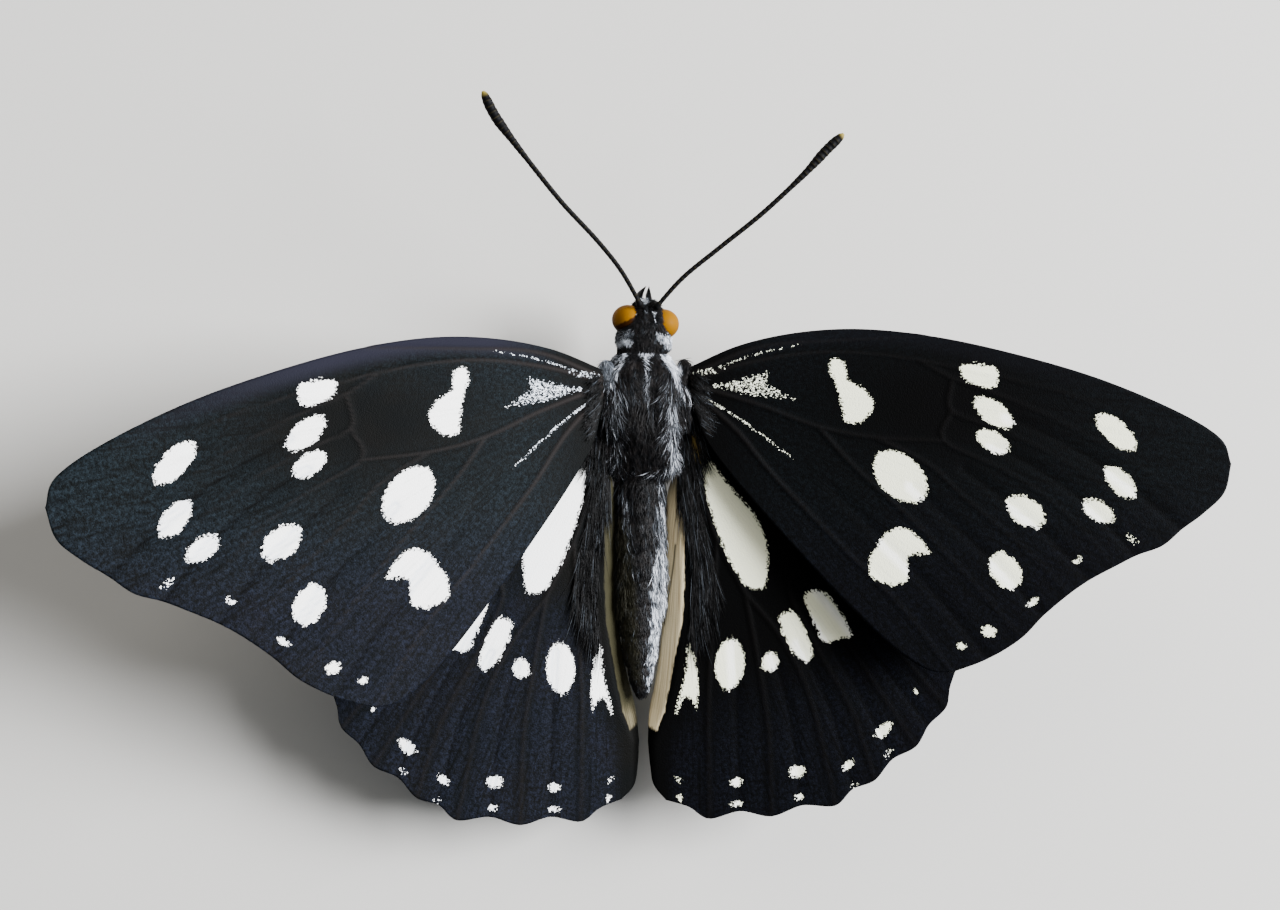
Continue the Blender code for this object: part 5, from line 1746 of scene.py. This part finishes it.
@dataclass(frozen=True)
class Legs:
    """Four walking legs on the floor and two small folded forelegs.

    Hips are in the body's frame; knees, ankles and toes are millimetres over the floor from
    the body's frame.
    """

    walking: dict = field(default_factory=lambda: {
        "midleg": ((1.15, 0.3, -3.6), (5.6, 2.6, 6.3), (9.2, 3.6, 0.6), (13.0, 5.4, 0.0)),
        "hindleg": ((1.1, -2.3, -3.3), (5.4, -6.2, 5.9), (8.4, -10.4, 0.6), (10.6, -14.2, 0.0))})
    folded: tuple = ((0.9, 3.4, -2.7), (0.95, 3.5, -3.15), (1.0, 4.6, -3.75), (1.0, 5.5, -3.5),
                     (1.0, 6.2, -2.85))
    hip: float = 0.2
    femur: float = 0.3
    knee: float = 0.21
    tibia: float = 0.19
    tarsus: float = 0.13
    points: int = 220
    foreleg_radii: tuple = ((0, 0.2, 0.85, 1), (0.16, 0.22, 0.18, 0.06))
    claw_ways: tuple = ((0.4, 0, 0.9), (-0.4, 0, 0.9))

    def limb(self, places: tuple, side: Side) -> tuple[Array, Array]:
        """A walking leg's middle line over the floor and its radii."""
        stand = BODY.origin() * [1, 1, 0]
        hip = turn_about("X", BODY.pitch) @ (np.array(places[0]) * [side.value, 1, 1]) + BODY.origin()
        knee, ankle, toe = (np.array(p) * [side.value, 1, 1] + stand for p in places[1:])
        foot = ankle + (toe - ankle) * 0.18
        foot[2] = toe[2] = self.tarsus
        line = np.array([
            hip, hip * 0.85 + knee * 0.15, (hip + knee) / 2, knee + (hip - knee) * 0.08, knee,
            knee + (ankle - knee) * 0.08, (knee + ankle) / 2, ankle, foot, (foot + toe) / 2, toe])
        radii = np.array([
            self.hip, self.femur, self.femur, self.knee, self.knee * 0.9, self.tibia * 0.8, self.tibia,
            self.tibia * 0.9, self.tarsus, self.tarsus, self.tarsus * 0.85])
        return line, radii

    def build(self, material: Material, spine_material: Material) -> None:
        """Make the legs with their spines and claws."""
        for kind, places in self.walking.items():
            for side in Side:
                line, radii = self.limb(places, side)
                step = np.concatenate([[0], np.cumsum(np.linalg.norm(np.diff(line, axis=0), axis=1))])
                path = smooth_path(line, self.points)
                along = np.linspace(0, step[-1], self.points)
                toes = smoothstep(step[7], step[8], along)
                joints = np.abs(np.sin(2.5 * math.pi * (along - step[8]) / (step[-1] - step[8])))
                radius = np.interp(along, step, radii) * (1 - 0.16 * toes * joints)
                path[:, 2] = np.maximum(path[:, 2], radius)
                node = f"{kind}_{side.name}"
                shape = tube(path, radius, 16)
                shape.points[:, 2] = np.maximum(shape.points[:, 2], 0)
                make_piece(f"{node}_limb", shape, material, (node,), on_floor=True)
                self.add_spines(f"{node}_spines", path[60:], radius[60:], spine_material, side)
        for side in Side:
            path = smooth_path(np.array(self.folded) * [side.value, 1, 1], 80)
            shape = tube(path, np.interp(np.linspace(0, 1, len(path)), *self.foreleg_radii), 14)
            make_piece(f"foreleg_{side.name}_limb", shape, material, (f"foreleg_{side.name}",))

    def add_spines(self, name: str, path: Array, radius: Array, material: Material, side: Side) -> None:
        """Two rows of short spines along the shin and foot, and the two claws."""
        rng = np.random.default_rng(len(name) + side.value)
        place = np.repeat(np.arange(4, len(path) - 6, 4), 2)
        tangent = unit(np.gradient(path, axis=0)[place])
        out = unit(np.cross(tangent, [0, 0, 1.0])) * np.tile([1, -1], len(place) // 2)[:, None]
        normal = unit(out + [0, 0, 0.15])
        spines, count = len(place), len(place) + 2
        roots = Roots(np.vstack([path[place] + normal * radius[place, None] * 0.9, path[-1:], path[-1:]]),
                      np.vstack([normal, self.claw_ways]), np.vstack([tangent, tangent[-1:], tangent[-1:]]),
                      np.zeros((count, 2)))
        length = np.append(rng.uniform(0.22, 0.34, spines), [0.42, 0.42])
        lift = np.append(np.full(spines, 0.8), [-0.1, -0.1])
        sway = np.append(np.zeros(spines), [0.35, -0.35])
        shape = Tufts(roots, length, lift, np.full(count, 0.03), {"along": np.zeros(count)}, sway).shape()
        shape.points[:, 2] = np.maximum(shape.points[:, 2], 0.004)
        make_piece(name, shape, material, (), on_floor=True)


# ---- studio --------------------------------------------------------------------------------


@dataclass
class Studio:
    """Pale floor, soft light from the right and the camera of the photograph.

    The camera's turn and place were found by matching marks on both pairs of wings.
    """

    scale_px: float = 14.0          # picture points to a millimetre at the body
    distance: float = 130.0
    turn: tuple[float, float, float] = (1.2, 11.3, 0.0)     # degrees about z, y and x
    offset: tuple[float, float] = (0.3, 2.7)
    floor_size: float = 1.2

    def build_camera(self) -> None:
        """Set the camera over the butterfly, turned about the body's frame."""
        spin, roll, pitch = self.turn
        view = turn_about("Z", spin) @ turn_about("Y", roll) @ turn_about("X", pitch)
        place = view.T @ np.array([-self.offset[0], -self.offset[1], self.distance])
        data = bpy.data.cameras.new("camera")
        data.sensor_width = 36.0
        data.lens = data.sensor_width * self.scale_px * self.distance / IMAGE_SIZE[0]
        data.clip_start = 0.005
        camera = bpy.data.objects.new("camera", data)
        axes = Matrix([BODY.direction(view[row]) for row in range(3)]).transposed()
        camera.matrix_world = Matrix.Translation(BODY.to_world(place[None])[0]) @ axes.to_4x4()
        bpy.context.scene.collection.objects.link(camera)
        bpy.context.scene.camera = camera

    def add_light(self, name: str, place: tuple[float, float, float], size: float, watts: float,
                  colour: str = "#ffffff") -> None:
        """Add one square area light aimed at the body."""
        data = bpy.data.lights.new(name, "AREA")
        data.energy = watts
        data.size = size
        data.color = linear(colour)[:3]
        light = bpy.data.objects.new(name, data)
        towards = Vector((0, 0, 0.01)) - Vector(place)
        light.location = place
        light.rotation_euler = towards.to_track_quat("-Z", "Y").to_euler()
        bpy.context.scene.collection.objects.link(light)

    def build(self) -> None:
        """Make the floor, the lights and the camera."""
        half = self.floor_size / 2
        mesh = bpy.data.meshes.new("floor")
        corners = [(-half, -half, 0), (half, -half, 0), (half, half, 0), (-half, half, 0)]
        mesh.from_pydata(corners, [], [(0, 1, 2, 3)])
        material, _, shader = new_material("floor_paper", Roughness=0.9)
        shader.inputs["Base Color"].default_value = linear("#a8a6a1")
        mesh.materials.append(material)
        floor = bpy.data.objects.new("floor", mesh)
        bpy.context.scene.collection.objects.link(floor)
        self.add_light("window", (0.46, 0.06, 0.4), 0.34, 24.0, "#f8faff")
        self.add_light("fill", (-0.2, 0.45, 0.5), 0.4, 2.5, "#fff8ee")
        world = bpy.data.worlds.new("studio")
        world.use_nodes = True
        world.node_tree.nodes["Background"].inputs[0].default_value = linear("#dfe4ea")
        world.node_tree.nodes["Background"].inputs[1].default_value = 0.45
        bpy.context.scene.world = world
        self.build_camera()


def main() -> None:
    """Build every part of the butterfly and its studio."""
    logging.basicConfig(level=logging.INFO, format="%(name)s: %(message)s")
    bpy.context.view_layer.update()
    scales = WingScales().build()
    fur = BodyFur("body_fur").build()
    wing_fur = BodyFur("wing_hair", "#030303", "#060505", olive="#6a5a2c", roughness=0.6).build()
    leg = Cuticle("leg_cuticle", "#3b342b", "#8d8573", 30, 0.5).build()
    for index, wing in enumerate((FOREWING, HINDWING)):
        wing.build(scales)
        for number, hair in enumerate(WING_HAIR[wing.name]):
            for side in Side:
                hair.build(wing, side, wing_fur, 100 + 10 * index + 3 * number + side.value)
    skin, marks = BodySkin(), BodyMarks()
    skin.build(marks, fur)
    for seed, region in enumerate(COAT):
        region.build(skin, marks, fur, seed)
    Tegula().build(marks, fur)
    Eye().build(skin, EyeFacets().build())
    feeler = Cuticle("antenna_cuticle", "#050506", "#8a7a3a", 46, 0.05, 0.975, roughness=0.6, gloss=0.05)
    Antennae().build(feeler.build())
    Mouthparts().build(skin, BodyFur("palp_scales").build(),
                       Cuticle("proboscis_cuticle", "#3d2410", "#7d5526", 60).build())
    Legs().build(leg, Cuticle("spine_cuticle", "#171411", "#2b2620", 1).build())
    Studio().build()


if __name__ == "__main__":
    main()
